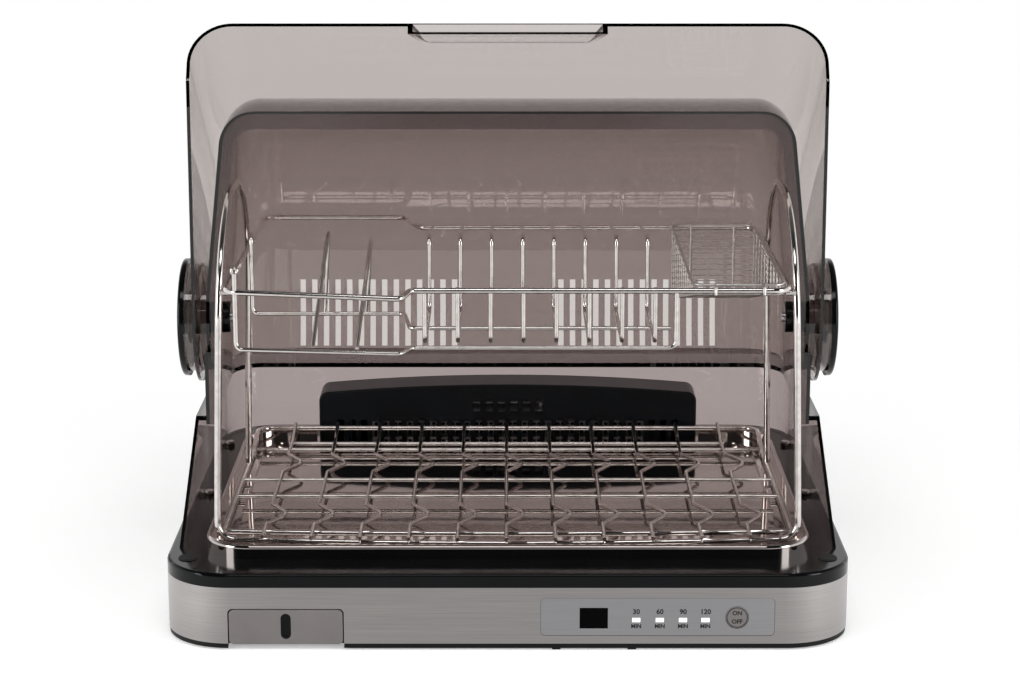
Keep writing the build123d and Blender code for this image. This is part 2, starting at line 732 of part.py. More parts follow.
with BuildPart() as fan_housing:
    with BuildSketch(Plane.XZ.offset(-box_front)):
        add(box_outline(0))
    extrude(amount=-(box_back - box_front))
    fillet(fan_housing.faces().sort_by(Axis.Y)[0].edges().filter_by(GeomType.LINE, reverse=True), box_wall)
    with BuildSketch(Plane.XZ.offset(-box_front - box_wall)):
        add(box_outline(box_wall))
    extrude(amount=-(box_back - box_front), mode=Mode.SUBTRACT)
    with BuildSketch(Plane.XZ.offset(-box_front + overrun)):
        with Locations((0, (grille_bottom + grille_top) / 2)):
            with GridLocations(grille_pitch, 0, grille_count, 1):
                Rectangle(grille_slot, grille_top - grille_bottom)
        with Locations((0, (eye_bottom + eye_top) / 2)):
            with GridLocations(eye_pitch, 0, eye_count, 1):
                RectangleRounded(eye_width, eye_top - eye_bottom, box_wall / 2)
    extrude(amount=-(2 * overrun + box_wall), mode=Mode.SUBTRACT)
    # web that carries the far end of the fan wheel, and the motor's web
    for web_x in (wheel_left - 2 * box_wall - overrun, motor_right + fit_gap):
        add(brick(web_x, web_x + box_wall, box_front + box_wall / 2, box_back - box_wall,
                  deck_floor + panel_gap, box_edge_top - box_wall / 2))
    add(rod((wheel_left - overrun - base_corner / 4, wheel_y, wheel_z), (wheel_left - overrun + box_wall, wheel_y, wheel_z),
            shaft_radius + bush_wall + running_gap), mode=Mode.SUBTRACT)
    # screw bosses in the back corners
    for x, z in housing_boss_places:
        add(rod((x, box_back - cover_screw_length - 2 * box_wall, z), (x, box_back, z), box_boss))
        add(rod((x, box_back - cover_screw_length - box_wall, z), (x, box_back + overrun, z),
                screw_shank + running_gap), mode=Mode.SUBTRACT)
keep(fan_housing.part, "fan_housing")

with BuildPart() as fan_back_panel:
    with BuildSketch(Plane.XZ.offset(-box_back - fit_gap)):
        add(box_outline(0))
    extrude(amount=-box_wall / 2)
    with BuildSketch(Plane.XZ.offset(-box_back + overrun)):
        with Locations((0, eye_bottom)):
            with GridLocations(2 * eye_pitch, 0, eye_count, 1):
                SlotOverall(2 * eye_width, eye_width / 2, rotation=90)
    extrude(amount=-(3 * overrun), mode=Mode.SUBTRACT)
    for x, z in housing_boss_places:
        add(rod((x, box_back - overrun, z), (x, box_back + overrun, z), screw_shank + panel_gap),
            mode=Mode.SUBTRACT)
keep(fan_back_panel.part, "fan_back_panel")

with BuildPart() as crossflow_wheel:
    with BuildSketch(Plane.YZ.offset(wheel_left)):
        with Locations((wheel_y, wheel_z)):
            with PolarLocations(wheel_radius - blade_depth / 2, blade_count):
                Rectangle(blade_depth, blade_sheet, rotation=25)
    extrude(amount=wheel_right - wheel_left)
    for share in (0, 1 / 3, 2 / 3, 1):
        disc_x = wheel_left + share * (wheel_right - wheel_left - box_wall)
        add(rod((disc_x, wheel_y, wheel_z), (disc_x + box_wall, wheel_y, wheel_z), wheel_radius))
    add(rod((wheel_left - overrun, wheel_y, wheel_z), (wheel_right + overrun, wheel_y, wheel_z),
            shaft_radius + running_gap / 5), mode=Mode.SUBTRACT)
keep(crossflow_wheel.part, "crossflow_wheel")

bush_left = wheel_left - 2 * box_wall - overrun
with BuildPart() as rotor_shaft:
    add(rod((bush_left, wheel_y, wheel_z), (motor_left + overrun * 2, wheel_y, wheel_z), shaft_radius))
keep(rotor_shaft.part, "rotor_shaft")

with BuildPart() as shaft_bush:
    add(rod((bush_left, wheel_y, wheel_z), (bush_left + box_wall * 2, wheel_y, wheel_z), shaft_radius + bush_wall))
    add(rod((bush_left - overrun, wheel_y, wheel_z), (wheel_left, wheel_y, wheel_z), shaft_radius + running_gap),
        mode=Mode.SUBTRACT)
keep(shaft_bush.part, "shaft_bush")

with BuildPart() as fan_motor:
    add(rod((motor_left, wheel_y, wheel_z), (motor_right, wheel_y, wheel_z), motor_radius))
    fillet(fan_motor.edges(), box_wall / 2)
    add(rod((motor_left - panel_sheet, wheel_y, wheel_z), (motor_left + panel_sheet, wheel_y, wheel_z),
            motor_radius / 2))
    add(rod((motor_left - overrun, wheel_y, wheel_z), (motor_left + overrun * 2 + fit_gap, wheel_y, wheel_z),
            shaft_radius + running_gap), mode=Mode.SUBTRACT)
keep(fan_motor.part, "fan_motor")

# Heater: a finned strip between two rails
fin_count = int(2 * heater_half_width / heater_fin_pitch)
with BuildPart() as heater_strip:
    with BuildSketch(Plane.XZ.offset(-heater_front)):
        with Locations((0, (heater_bottom + heater_top) / 2)):
            Rectangle(2 * heater_half_width, heater_top - heater_bottom)
            with GridLocations(heater_fin_pitch, (heater_top - heater_bottom) / 2, fin_count, 2):
                Rectangle(heater_fin_pitch - heater_fin, (heater_top - heater_bottom) / 2 - 2 * heater_fin,
                          mode=Mode.SUBTRACT)
    extrude(amount=-(heater_back - heater_front))
    for side in (-1, 1):
        add(brick(min(side * heater_half_width, side * (heater_half_width + overrun)),
                  max(side * heater_half_width, side * (heater_half_width + overrun)), heater_front, heater_back,
                  deck_floor + fit_gap / 2, heater_top))
keep(heater_strip.part, "heater_strip")

with BuildPart() as thermal_cutout:
    add(brick(heater_half_width + overrun, heater_half_width + overrun + box_corner, heater_front, heater_back,
              heater_bottom, heater_top - box_wall))
    add(rod((heater_half_width + overrun + box_corner / 2, (heater_front + heater_back) / 2, heater_bottom),
            (heater_half_width + overrun + box_corner / 2, (heater_front + heater_back) / 2,
             heater_top + box_wall / 2), box_corner / 3))
keep(thermal_cutout.part, "thermal_cutout")

# Front cover: drawn about the hinge axis, turned back by the swing from its closed place
def about_hinge(degrees):
    """A plane across the object on the hinge axis, turned about it; its x runs to the back at 0."""
    turn = math.radians(degrees)
    return Plane(origin=(0, pivot_y, pivot_z), x_dir=(0, math.cos(turn), math.sin(turn)), z_dir=(1, 0, 0))


def polar(radius, degrees):
    """A point about the hinge axis, by its distance and its angle from the back."""
    return (radius * math.cos(math.radians(degrees)), radius * math.sin(math.radians(degrees)))


def angle_of(point):
    """The angle of a point about the hinge axis."""
    return math.degrees(math.atan2(point[1], point[0])) % full_turn


def tangent_point(point, radius, side):
    """Where a line from the point touches a circle about the hinge axis."""
    spread = math.degrees(math.acos(radius / math.hypot(*point)))
    return polar(radius, angle_of(point) + side * spread)


lid_foot = (-lid_front - pivot_y, lid_bottom - pivot_z)
lid_touch = tangent_point(lid_foot, lid_radius, -1)
kink = (-lid_kink - pivot_y, lid_bottom - pivot_z)
under_ear = tangent_point(kink, ear_radius, 1)
lid_rear = polar(lid_radius, lid_rear_angle)
behind_ear = tangent_point(lid_rear, ear_radius, -1)
lid_plane = about_hinge(-lid_swing)
wall_up = (Vector(*lid_touch) - Vector(*lid_foot)).normalized()
wall_in = Vector(wall_up.Y, -wall_up.X)


def lid_skin(inset, open_side):
    """The cover's rounded body; the inner one runs past every open side of it."""
    radius = lid_radius - inset
    half = lid_half_width - inset
    foot = Vector(*lid_foot) + wall_in * inset
    touch = Vector(*lid_touch) + wall_in * inset
    with BuildPart() as skin:
        with BuildSketch(lid_plane):
            with BuildLine():
                if open_side:
                    low = foot - wall_up * overrun
                    Polyline(touch, low, (radius, low.Y), (radius, 0))
                    start = Vector(radius, 0)
                    crown = Vector(*polar(radius, angle_of(lid_touch) / 2))
                else:
                    Polyline(touch, foot, kink, under_ear)
                    ear_middle = (angle_of(under_ear) - full_turn + angle_of(behind_ear)) / 2
                    ThreePointArc(under_ear, polar(ear_radius, ear_middle), behind_ear)
                    Line(behind_ear, lid_rear)
                    start = Vector(*lid_rear)
                    crown = Vector(*polar(radius, (lid_rear_angle + angle_of(lid_touch)) / 2))
                ThreePointArc(start, crown, touch)
            make_face()
        extrude(amount=half, both=True)
        rounded = []
        for side in (-half, half):
            for place in (crown, (touch + foot) / 2):
                spot = lid_plane.from_local_coords(Vector(place.X, place.Y, side))
                rounded.append(skin.edges().sort_by_distance(spot)[0])
        fillet(rounded, lid_corner - inset)
    return skin.part


def scoop(hollow):
    """The finger scoop against the front wall: its outer form, or the hollow that is open to the front."""
    inset = lid_wall if hollow else 0
    near, depth = inset, scoop_depth + lid_wall - inset
    far = scoop_height + lid_wall - inset
    reach = overrun if hollow else 0
    foot = Vector(*lid_foot)
    with BuildPart() as wedge:
        with BuildSketch(lid_plane):
            with BuildLine():
                Polyline(foot + wall_up * near - wall_in * reach, foot + wall_up * near + wall_in * depth,
                         foot + wall_up * far + wall_in * (lid_wall - inset) / 2,
                         foot + wall_up * far - wall_in * reach, close=True)
            make_face()
        extrude(amount=scoop_width, both=True)
        outward = lid_plane.from_local_coords(Vector(-wall_in.X, -wall_in.Y, 0)) - lid_plane.origin
        origin = lid_plane.from_local_coords(Vector(foot.X, foot.Y, 0))
        with BuildSketch(Plane(origin=origin, x_dir=(1, 0, 0), z_dir=outward)):
            with BuildLine():
                Polyline((inset - scoop_width / 2, 0), (inset - scoop_far_width / 2, far),
                         (scoop_far_width / 2 - inset, far), (scoop_width / 2 - inset, 0), close=True)
            face = make_face()
            fillet(face.vertices().group_by(Axis.Y)[-1], scoop_corner - inset)
        extrude(amount=scoop_width, both=True, mode=Mode.INTERSECT)
    return wedge.part


with BuildPart() as front_cover:
    add(lid_skin(0, False))
    add(lid_skin(lid_wall, True), mode=Mode.SUBTRACT)
    add(scoop(False))
    add(scoop(True), mode=Mode.SUBTRACT)
    for side in (-1, 1):
        # hub: a drum outside the wall, and the boss for the bush
        with BuildSketch(Plane(origin=(side * (lid_half_width - lid_wall / 2), pivot_y, pivot_z), z_dir=(side, 0, 0))):
            Circle(hub_radius)
        extrude(amount=hub_depth + lid_wall / 2)
        with BuildSketch(Plane(origin=(side * lid_half_width, pivot_y, pivot_z), z_dir=(side, 0, 0))):
            Circle(hub_radius - hub_wall)
        extrude(amount=hub_depth + overrun, mode=Mode.SUBTRACT)
        add(rod((side * boss_inner, pivot_y, pivot_z), (side * hub_face, pivot_y, pivot_z), boss_radius))
        add(rod((side * (boss_inner - overrun), pivot_y, pivot_z), (side * (hub_face + overrun), pivot_y, pivot_z),
                pin_radius + bush_wall + running_gap / 5), mode=Mode.SUBTRACT)
keep(front_cover.part, "front_cover")


# Rear cover: an upper drum that tapers upwards, on a wider lower skirt
def upper_half_width(height):
    """Half the rear cover's outer width at a height: upright up to the hinge, leaning inwards above it."""
    return rear_upper_half_width - (max(height, pivot_z) - rear_upper_height) * math.tan(math.radians(rear_draft))


def side_outline(inset, low, high):
    """The corners of the rear cover's outline from the front between two heights."""
    right = [(upper_half_width(height) - inset, height) for height in (low, pivot_z, high)]
    return [(-x, z) for x, z in right] + right[::-1]


def rear_upper(inset):
    """The rear cover's upper part: a drum about the hinge axis between two leaning sides."""
    radius = rear_radius - inset
    front = -rear_rim - pivot_y + inset
    low = ledge_height - pivot_z - rear_wall - (overrun if inset else 0)
    high = math.sqrt(radius ** 2 - front ** 2)
    drum_end = math.sqrt(radius ** 2 - low ** 2)
    tall = lid_radius + pivot_z
    with BuildPart() as drum:
        with BuildSketch(about_hinge(0)):
            with BuildLine():
                Polyline((front, high), (front, low), (drum_end, low))
                ThreePointArc((drum_end, low), polar(radius, base_corner), (front, high))
            make_face()
        extrude(amount=lid_half_width, both=True)
        with BuildSketch(Plane.XZ.offset(base_depth)):
            with BuildLine():
                Polyline(*side_outline(inset, 0, tall), close=True)
            make_face()
        extrude(amount=-2 * base_depth, mode=Mode.INTERSECT)
        spots = []
        for side in (-1, 1):
            for crown in (polar(radius, base_corner), polar(radius, -base_corner / 4)):
                spots.append((side * (upper_half_width(pivot_z + crown[1]) - inset),
                              pivot_y + crown[0], pivot_z + crown[1]))
        fillet([drum.edges().sort_by_distance(spot)[0] for spot in spots], rear_corner - inset)
    return drum.part


def rear_lower(inset):
    """The rear cover's lower skirt, whose front edges follow the open seam under the front cover."""
    seam = Vector(under_ear[0] - kink[0], under_ear[1] - kink[1]).normalized()
    below = Vector(seam.Y, -seam.X) * seam_gap
    start = Vector(*kink) + below
    bottom = deck_top - pivot_z - (overrun if inset else 0)
    top = ledge_height - pivot_z - inset
    ahead = -2 * overrun if inset else 0
    back = rear_back - pivot_y - inset
    corners = [(start.X + seam.X / seam.Y * (height - start.Y) + ahead, height) for height in (bottom, top)]
    with BuildPart() as skirt:
        with BuildSketch(about_hinge(0)):
            with BuildLine():
                Polyline(corners[0], corners[1], (back, top), (back, bottom), close=True)
            make_face()
        extrude(amount=rear_half_width - inset, both=True)
        upright = skirt.edges().filter_by(Axis.Z).filter_by(lambda edge: edge.center().Y > pivot_y)
        fillet(upright, rear_plan_corner - inset)
    return skirt.part


with BuildPart() as rear_cover:
    add(rear_upper(0))
    add(rear_lower(0))
    for side in (-1, 1):
        with BuildSketch(Plane(origin=(side * (pocket_face - rear_wall), pivot_y, pivot_z), z_dir=(side, 0, 0))):
            Circle(pad_radius)
        extrude(amount=pad_face - pocket_face + rear_wall)
    add(rear_upper(rear_wall), mode=Mode.SUBTRACT)
    add(rear_lower(rear_wall), mode=Mode.SUBTRACT)
    # window in the front rim
    window_low = ledge_height - rear_wall - overrun
    window_high = pivot_z + math.sqrt(rear_radius ** 2 - (rear_rim + pivot_y) ** 2) - rear_top_flange
    with BuildSketch(Plane.XZ.offset(rear_rim + overrun)):
        with BuildLine():
            Polyline(*side_outline(rear_flange, window_low, window_high), close=True)
        face = make_face()
        fillet(face.vertices().group_by(Axis.Y)[-1], rear_corner - rear_flange)
    extrude(amount=-(2 * overrun + rear_wall), mode=Mode.SUBTRACT)
    for side in (-1, 1):
        with BuildSketch(Plane(origin=(side * (pocket_face - rear_wall), pivot_y, pivot_z), z_dir=(side, 0, 0))):
            Circle(pad_radius)
        extrude(amount=pad_face - pocket_face + rear_wall)
        with BuildSketch(Plane(origin=(side * pocket_face, pivot_y, pivot_z), z_dir=(side, 0, 0))):
            Circle(pad_radius - pad_rim)
        extrude(amount=lid_half_width - pocket_face, mode=Mode.SUBTRACT)
        with BuildSketch(Plane(origin=(side * (pocket_face - 2 * overrun), pivot_y, pivot_z), z_dir=(side, 0, 0))):
            Circle(pin_radius + running_gap)
        extrude(amount=4 * overrun, mode=Mode.SUBTRACT)
    # two groups of upright vents in the back
    with BuildSketch(Plane.XZ.offset(-pivot_y - rear_radius * math.cos(math.radians(base_corner)))):
        for first in vent_groups:
            with Locations((first + vent_pitch * (vent_count - 1) / 2, (vent_bottom + vent_top) / 2)):
                with GridLocations(vent_pitch, 0, vent_count, 1):
                    Rectangle(vent_width, vent_top - vent_bottom)
    extrude(amount=-rear_radius, mode=Mode.SUBTRACT)
    # foot flange on the deck, with its screw holes
    for side in (-1, 1):
        flange_x = side * (rear_half_width - rear_wall - screw_head - fit_gap)
        for y in (pivot_y, pivot_y + rear_radius - base_corner / 2):
            add(rod((flange_x, y, deck_top), (flange_x, y, deck_top + rear_wall), screw_head + fit_gap * 2))
            add(rod((flange_x, y, deck_top - overrun), (flange_x, y, deck_top + 2 * overrun),
                    screw_shank + panel_gap), mode=Mode.SUBTRACT)
keep(rear_cover.part, "rear_cover")

# Hinges: caps, pins, bushes, inner retainers and their screws
for name, side in (("left", -1), ("right", 1)):
    with BuildPart() as hub_cap:
        cap_seat = hub_face + fit_gap / 3
        dome_radius = (cap_radius ** 2 + cap_dome ** 2) / (2 * cap_dome)
        with BuildSketch(Plane.XZ.offset(-pivot_y)):
            with BuildLine():
                Polyline((side * cap_seat, pivot_z), (side * cap_seat, pivot_z + cap_radius),
                         (side * (cap_seat + cap_rim), pivot_z + cap_radius))
                ThreePointArc((side * (cap_seat + cap_rim), pivot_z + cap_radius),
                              (side * (cap_seat + cap_rim + cap_dome * 3 / 4), pivot_z + cap_radius / 2),
                              (side * (cap_seat + cap_rim + cap_dome), pivot_z))
                Line((side * (cap_seat + cap_rim + cap_dome), pivot_z), (side * cap_seat, pivot_z))
            make_face()
        revolve(axis=hinge_axis)
        rims = hub_cap.edges().filter_by(lambda edge: edge.is_closed)
        fillet(rims.sort_by(lambda edge: side * edge.center().X)[-1], cap_wall)
        with BuildSketch(Plane(origin=(side * (cap_seat - overrun), pivot_y, pivot_z), z_dir=(side, 0, 0))):
            Circle(cap_pocket)
        extrude(amount=overrun + cap_rim, mode=Mode.SUBTRACT)
    keep(hub_cap.part, f"{name}_hub_cap")

    pin_inner = pocket_face - rear_wall - retainer_depth / 2
    with BuildPart() as hinge_pin:
        add(rod((side * pin_inner, pivot_y, pivot_z), (side * (hub_face + fit_gap), pivot_y, pivot_z), pin_radius))
        add(rod((side * (hub_face + fit_gap), pivot_y, pivot_z),
                (side * (hub_face + fit_gap + cap_wall), pivot_y, pivot_z), pin_radius + 2 * bush_wall))
        add(rod((side * (pin_inner - overrun), pivot_y, pivot_z), (side * boss_inner, pivot_y, pivot_z),
                hinge_screw_radius + running_gap), mode=Mode.SUBTRACT)
    keep(hinge_pin.part, f"{name}_hinge_pin")

    with BuildPart() as hinge_bush:
        add(rod((side * (boss_inner - fit_gap / 2), pivot_y, pivot_z), (side * hub_face, pivot_y, pivot_z),
                pin_radius + bush_wall))
        add(rod((side * (boss_inner - overrun), pivot_y, pivot_z), (side * (hub_face + overrun), pivot_y, pivot_z),
                pin_radius + running_gap), mode=Mode.SUBTRACT)
    keep(hinge_bush.part, f"{name}_hinge_bush")

    retainer_out = pocket_face - rear_wall - fit_gap / 3
    with BuildPart() as hinge_retainer:
        add(rod((side * (retainer_out - retainer_depth), pivot_y, pivot_z), (side * retainer_out, pivot_y, pivot_z),
                retainer_radius))
        chamfer(hinge_retainer.edges().sort_by(lambda edge: side * edge.center().X)[0], bush_wall / 2)
        add(rod((side * pin_inner, pivot_y, pivot_z), (side * lid_half_width, pivot_y, pivot_z),
                pin_radius + running_gap / 5), mode=Mode.SUBTRACT)
        add(rod((side * (retainer_out - retainer_depth - overrun), pivot_y, pivot_z),
                (side * lid_half_width, pivot_y, pivot_z), hinge_screw_radius + running_gap), mode=Mode.SUBTRACT)
    keep(hinge_retainer.part, f"{name}_hinge_retainer")

head_seat = pocket_face - rear_wall - fit_gap / 3 - retainer_depth
with BuildPart() as hinge_screws:
    for side in (-1, 1):
        add(rod((side * (head_seat - bush_wall), pivot_y, pivot_z), (side * head_seat, pivot_y, pivot_z),
                hinge_screw_head))
        add(rod((side * head_seat, pivot_y, pivot_z), (side * (boss_inner - rear_wall), pivot_y, pivot_z),
                hinge_screw_radius))
keep(hinge_screws.part, "hinge_screws")

# Lower rack: two bowed wires, a rail round three sides, crossbars and wavy wires on top
leg_slope = 2 * math.atan(rack_front_bow / leg_front_span)
leg_y = rack_front_bow - rack_front + (leg_foot_spread - leg_front_span) * math.tan(leg_slope)
rail_front = leg_y + leg_wire / 2 + running_gap * 2
wave_height = rack_height + frame_wire / 2 + rib_wire / 2 - weld_sink
bar_height = wave_height - rib_wire / 2 - cross_wire / 2 + weld_sink
rear_wave = rack_rear_height + frame_wire / 2 + rib_wire / 2 - weld_sink
front_bow_radius = (leg_front_span ** 2 + rack_front_bow ** 2) / (2 * rack_front_bow)
with BuildPart() as lower_rack:
    add(bowed_wire(leg_front_span, rack_front, rack_front_bow, rack_height, frame_wire))
    add(bowed_wire(rack_half_width, rack_second, rack_second_bow, rack_height, frame_wire))
    add(wire(((-rack_half_width, rail_front, rack_height), (-rack_half_width, rail_climb, rack_height),
              (-rack_half_width, rail_climb + rail_climb_run, rack_rear_height),
              (-rack_half_width, rack_back, rack_rear_height), (rack_half_width, rack_back, rack_rear_height),
              (rack_half_width, rail_climb + rail_climb_run, rack_rear_height),
              (rack_half_width, rail_climb, rack_height), (rack_half_width, rail_front, rack_height)),
             frame_wire, (foot_bend, foot_bend, foot_bend, foot_bend, foot_bend, foot_bend)))
    for y in crossbar_places:
        add(rod((-rack_half_width, y, bar_height), (rack_half_width, y, bar_height), cross_wire / 2))
    add(rod((wave_first - overrun, last_crossbar, bar_height),
            (wave_first + wave_pitch * (wave_count - 1) + overrun, last_crossbar, bar_height), cross_wire / 2))
    for index in range(wave_count):
        x = wave_first + wave_pitch * index
        start = front_bow_radius - rack_front - math.sqrt(front_bow_radius ** 2 - x ** 2) - frame_wire / 2
        add(wire(((x, start, wave_height), (x, wave_peaks[0] - wave_half, wave_height),
                  (x + wave_throw, wave_peaks[0], wave_height), (x, wave_peaks[0] + wave_half, wave_height),
                  (x, wave_peaks[1] - wave_half, wave_height), (x + wave_throw, wave_peaks[1], wave_height),
                  (x, wave_peaks[1] + wave_half, wave_height), (x, wave_climb, wave_height),
                  (x, rack_back + frame_wire / 2, rear_wave)),
                 rib_wire, (side_bend, peak_bend, side_bend, side_bend, peak_bend, side_bend, foot_bend)))
keep(lower_rack.part, "lower_rack")

# Arches: one bent wire on each side, with pegs under the upper rack's rim
peg_height = rim_height - frame_wire / 2 - cross_wire / 2 - running_gap * 2
arch_drop = rack_height + frame_wire / 2 + running_gap * 2
for name, side in (("left", -1), ("right", 1)):
    with BuildPart() as arch:
        add(wire(((side * leg_front_span, rack_front_bow - rack_front, rack_height),
                  (side * leg_foot_spread, leg_y, rack_height), (side * leg_top_spread, leg_y, arch_top),
                  (side * leg_top_spread, leg_back, arch_top), (side * rack_half_width, leg_back, arch_drop)),
                 leg_wire, (foot_bend, arch_round, arch_round)))
        for peg_y in (leg_y, leg_back):
            add(rod((side * (leg_top_spread + overrun / 3), peg_y, peg_height),
                    (side * (rim_half_width - rib_wire / 2), peg_y, peg_height), cross_wire / 2))
    keep(arch.part, f"{name}_arch")

# Upper rack: rim and floor wires
rib_down = frame_wire / 2 + rib_wire / 2 + running_gap
rib_floor = rack_floor + cross_wire / 2 + rib_wire / 2 + running_gap
split_left = zone_split - rib_wire
split_right = zone_split + rib_wire


def left_front(x):
    """How far forward the left bay's front wires stand at a place across the rack."""
    return -left_rim_end - (left_rim_front - left_rim_end) * (x + rim_half_width) / (split_left + rim_half_width)


with BuildPart() as upper_rack:
    add(wire(((-rim_half_width, 0, rim_height), (-rim_half_width, left_front(-rim_half_width), rim_height),
              (split_left, left_front(split_left), rim_height - left_rim_drop),
              (split_right, -right_rim_front, rim_height),
              (rim_half_width, -right_rim_front, rim_height), (rim_half_width, 0, rim_height)),
             frame_wire, (foot_bend, jog_bend, jog_bend, foot_bend)))
    add(wire(((rim_half_width, 0, rim_height), (rim_half_width, right_rim_back, rim_height),
              (zone_split, right_rim_back, rim_height), (zone_split - zone_jog, left_rim_back, rim_height),
              (-rim_half_width, left_rim_back, rim_height), (-rim_half_width, 0, rim_height)),
             frame_wire, (foot_bend, jog_bend * 2, jog_bend * 2, foot_bend)))
    add(wire(((-end_wire, left_front(-end_wire), end_top), (-end_wire, left_front(-end_wire), rack_floor),
              (split_left, left_front(split_left), rack_floor), (split_right, -right_rim_front, rack_floor),
              (right_floor_end, -right_rim_front, rack_floor), (right_floor_end, -right_rim_front, rim_height)),
             cross_wire, (jog_bend, jog_bend, jog_bend, jog_bend)))
    add(wire(((-end_wire, left_rim_back, rim_height), (-end_wire, mid_wire_left, rib_peak),
              (-end_wire, mid_wire_left, rack_floor), (zone_split - zone_jog / 2, mid_wire_left, rack_floor),
              (zone_split, mid_wire_right, rack_floor), (right_floor_end, mid_wire_right, rack_floor)),
             cross_wire, (jog_bend, jog_bend, jog_bend, jog_bend)))
    # eye at the top of the left end's front upright
    with BuildPart(Plane(origin=(-end_wire, left_front(-end_wire), end_top + end_eye), z_dir=(0, -1, 0))):
        Torus(end_eye, end_eye_wire / 2)
keep(upper_rack.part, "upper_rack")

# Plate ribs: bent wires on the right bay's floor, from the front rim to the rear rim
with BuildPart() as plate_ribs:
    for index in range(rib_count):
        x = rib_first + rib_pitch * index
        add(wire(((x, rib_down - right_rim_front, rim_height + rib_wire / 2), (x, rib_down - right_rim_front, rib_floor),
                  (x, rib_turn, rib_floor), (x, rib_turn, rib_peak),
                  (x, right_rim_back + frame_wire / 2, rim_height + rib_down)),
                 rib_wire, (side_bend, side_bend, side_bend)))
keep(plate_ribs.part, "plate_ribs")

# Dividers: pointed wires that stand on the left bay's floor wires
divider_foot = rack_floor + cross_wire / 2 + running_gap * 3
with BuildPart() as rack_dividers:
    for share, peak in zip(divider_shares, divider_peaks):
        x = (zone_split + rim_half_width) * share - rim_half_width
        add(wire(((x, left_front(x), rib_floor), (x + jog_bend, divider_peak_y, peak),
                  (x, mid_wire_left, divider_foot)), rib_wire, (jog_bend,)))
keep(rack_dividers.part, "rack_dividers")

# Cutlery basket: a perforated box with a sloping floor, hooked over the rack's rim
def basket_outline(inset, lift):
    """The basket's side outline; inset draws it inside the walls, lift raises its top."""
    with BuildSketch() as outline:
        with BuildLine():
            Polyline((inset - basket_front, basket_rim + lift), (basket_back - inset, basket_rim + lift),
                     (basket_back - inset, basket_deep + inset), (inset - basket_front, basket_shallow + inset / 2),
                     close=True)
        make_face()
    return outline.sketch


basket_mid_x = (basket_left + basket_right) / 2
basket_mid_y = (basket_back - basket_front) / 2
slot_width = mesh_pitch - mesh_bar
with BuildPart() as cutlery_basket:
    with BuildSketch(Plane.YZ.offset(basket_left)):
        add(basket_outline(0, 0))
    extrude(amount=basket_right - basket_left)
    fillet(cutlery_basket.edges().filter_by(Axis.Z), basket_corner)
    with BuildPart(mode=Mode.SUBTRACT) as basket_inside:
        with BuildSketch(Plane.YZ.offset(basket_left + basket_sheet)):
            add(basket_outline(basket_sheet, overrun))
        extrude(amount=basket_right - basket_left - 2 * basket_sheet)
        fillet(basket_inside.edges().filter_by(Axis.Z), basket_corner - basket_sheet)
    # slots in the two long walls
    with BuildSketch(Plane.YZ.offset(basket_left - overrun)):
        with Locations((basket_mid_y, (basket_rim + basket_deep) / 2)):
            with GridLocations(mesh_pitch, 0, side_slots, 1):
                Rectangle(slot_width, basket_rim - basket_deep)
        add(basket_outline(2 * basket_sheet, -2 * basket_sheet), mode=Mode.INTERSECT)
    extrude(amount=basket_right - basket_left + 2 * overrun, mode=Mode.SUBTRACT)
    # slots in the sloping floor
    with BuildSketch(Plane.XY.offset(basket_deep - overrun)):
        with Locations((basket_mid_x, basket_mid_y)):
            with GridLocations(mesh_pitch, (basket_back + basket_front) / floor_rows, floor_slots, floor_rows):
                Rectangle(slot_width, (basket_back + basket_front) / floor_rows - 2 * mesh_bar)
    extrude(amount=basket_rim - basket_deep, mode=Mode.SUBTRACT)
    # slots in the back wall
    with BuildSketch(Plane.XZ.offset(-basket_back - overrun)):
        with Locations((basket_mid_x, (basket_rim + basket_deep) / 2)):
            with GridLocations(mesh_pitch, 0, floor_slots, 1):
                Rectangle(slot_width, basket_rim - basket_deep - 2 * mesh_pitch)
    extrude(amount=2 * overrun, mode=Mode.SUBTRACT)
    for wall_y, rim_y, way in ((-basket_front, -right_rim_front, -1), (basket_back, right_rim_back, 1)):
        for x in (basket_left + mesh_pitch * 2, basket_right - mesh_pitch * 2):
            inner = wall_y - way * basket_sheet / 2
            over = rim_height + frame_wire / 2 + hook_wire / 2 + running_gap * 2
            beyond = rim_y + way * (frame_wire / 2 + hook_wire / 2 + running_gap * 2)
            add(wire(((x, inner, basket_rim - mesh_pitch), (x, inner, over), (x, beyond, over),
                      (x, beyond, rim_height - hook_wire)), hook_wire, (hook_wire, hook_wire)))
keep(cutlery_basket.part, "cutlery_basket")

# Loom from the power board to the control board, along the pan's floor
loom_height = pan_floor_top + boss_wall + board_sheet
loom_x = power_left + base_corner
with BuildPart() as wiring_loom:
    add(wire(((loom_x, power_front - fit_gap / 3, loom_height), (loom_x, -core, loom_height),
              (loom_x + core, -2 * core, loom_height),
              (loom_x + core, board_sheet + fit_gap / 3 - board_front, loom_height)),
             leg_wire, (core, core)))
keep(wiring_loom.part, "wiring_loom")

# Screws: under the base, through the rear cover's foot flange, and in the fan box's back
with BuildPart() as base_screws:
    for x, y in deck_boss_places:
        add(screw(x, y, pan_under, base_screw_length, True))
keep(base_screws.part, "base_screws")

with BuildPart() as cover_screws:
    for side in (-1, 1):
        for y in (pivot_y, pivot_y + rear_radius - base_corner / 2):
            add(screw(side * (rear_half_width - rear_wall - screw_head - fit_gap), y, deck_top + rear_wall,
                      cover_screw_length, False))
keep(cover_screws.part, "cover_screws")

with BuildPart() as housing_screws:
    for x, z in housing_boss_places:
        seat = box_back + fit_gap + box_wall / 2
        add(rod((x, seat, z), (x, seat + screw_head_height, z), screw_head))
        add(rod((x, box_back - cover_screw_length, z), (x, seat + screw_head_height / 2, z), screw_shank))
keep(housing_screws.part, "housing_screws")
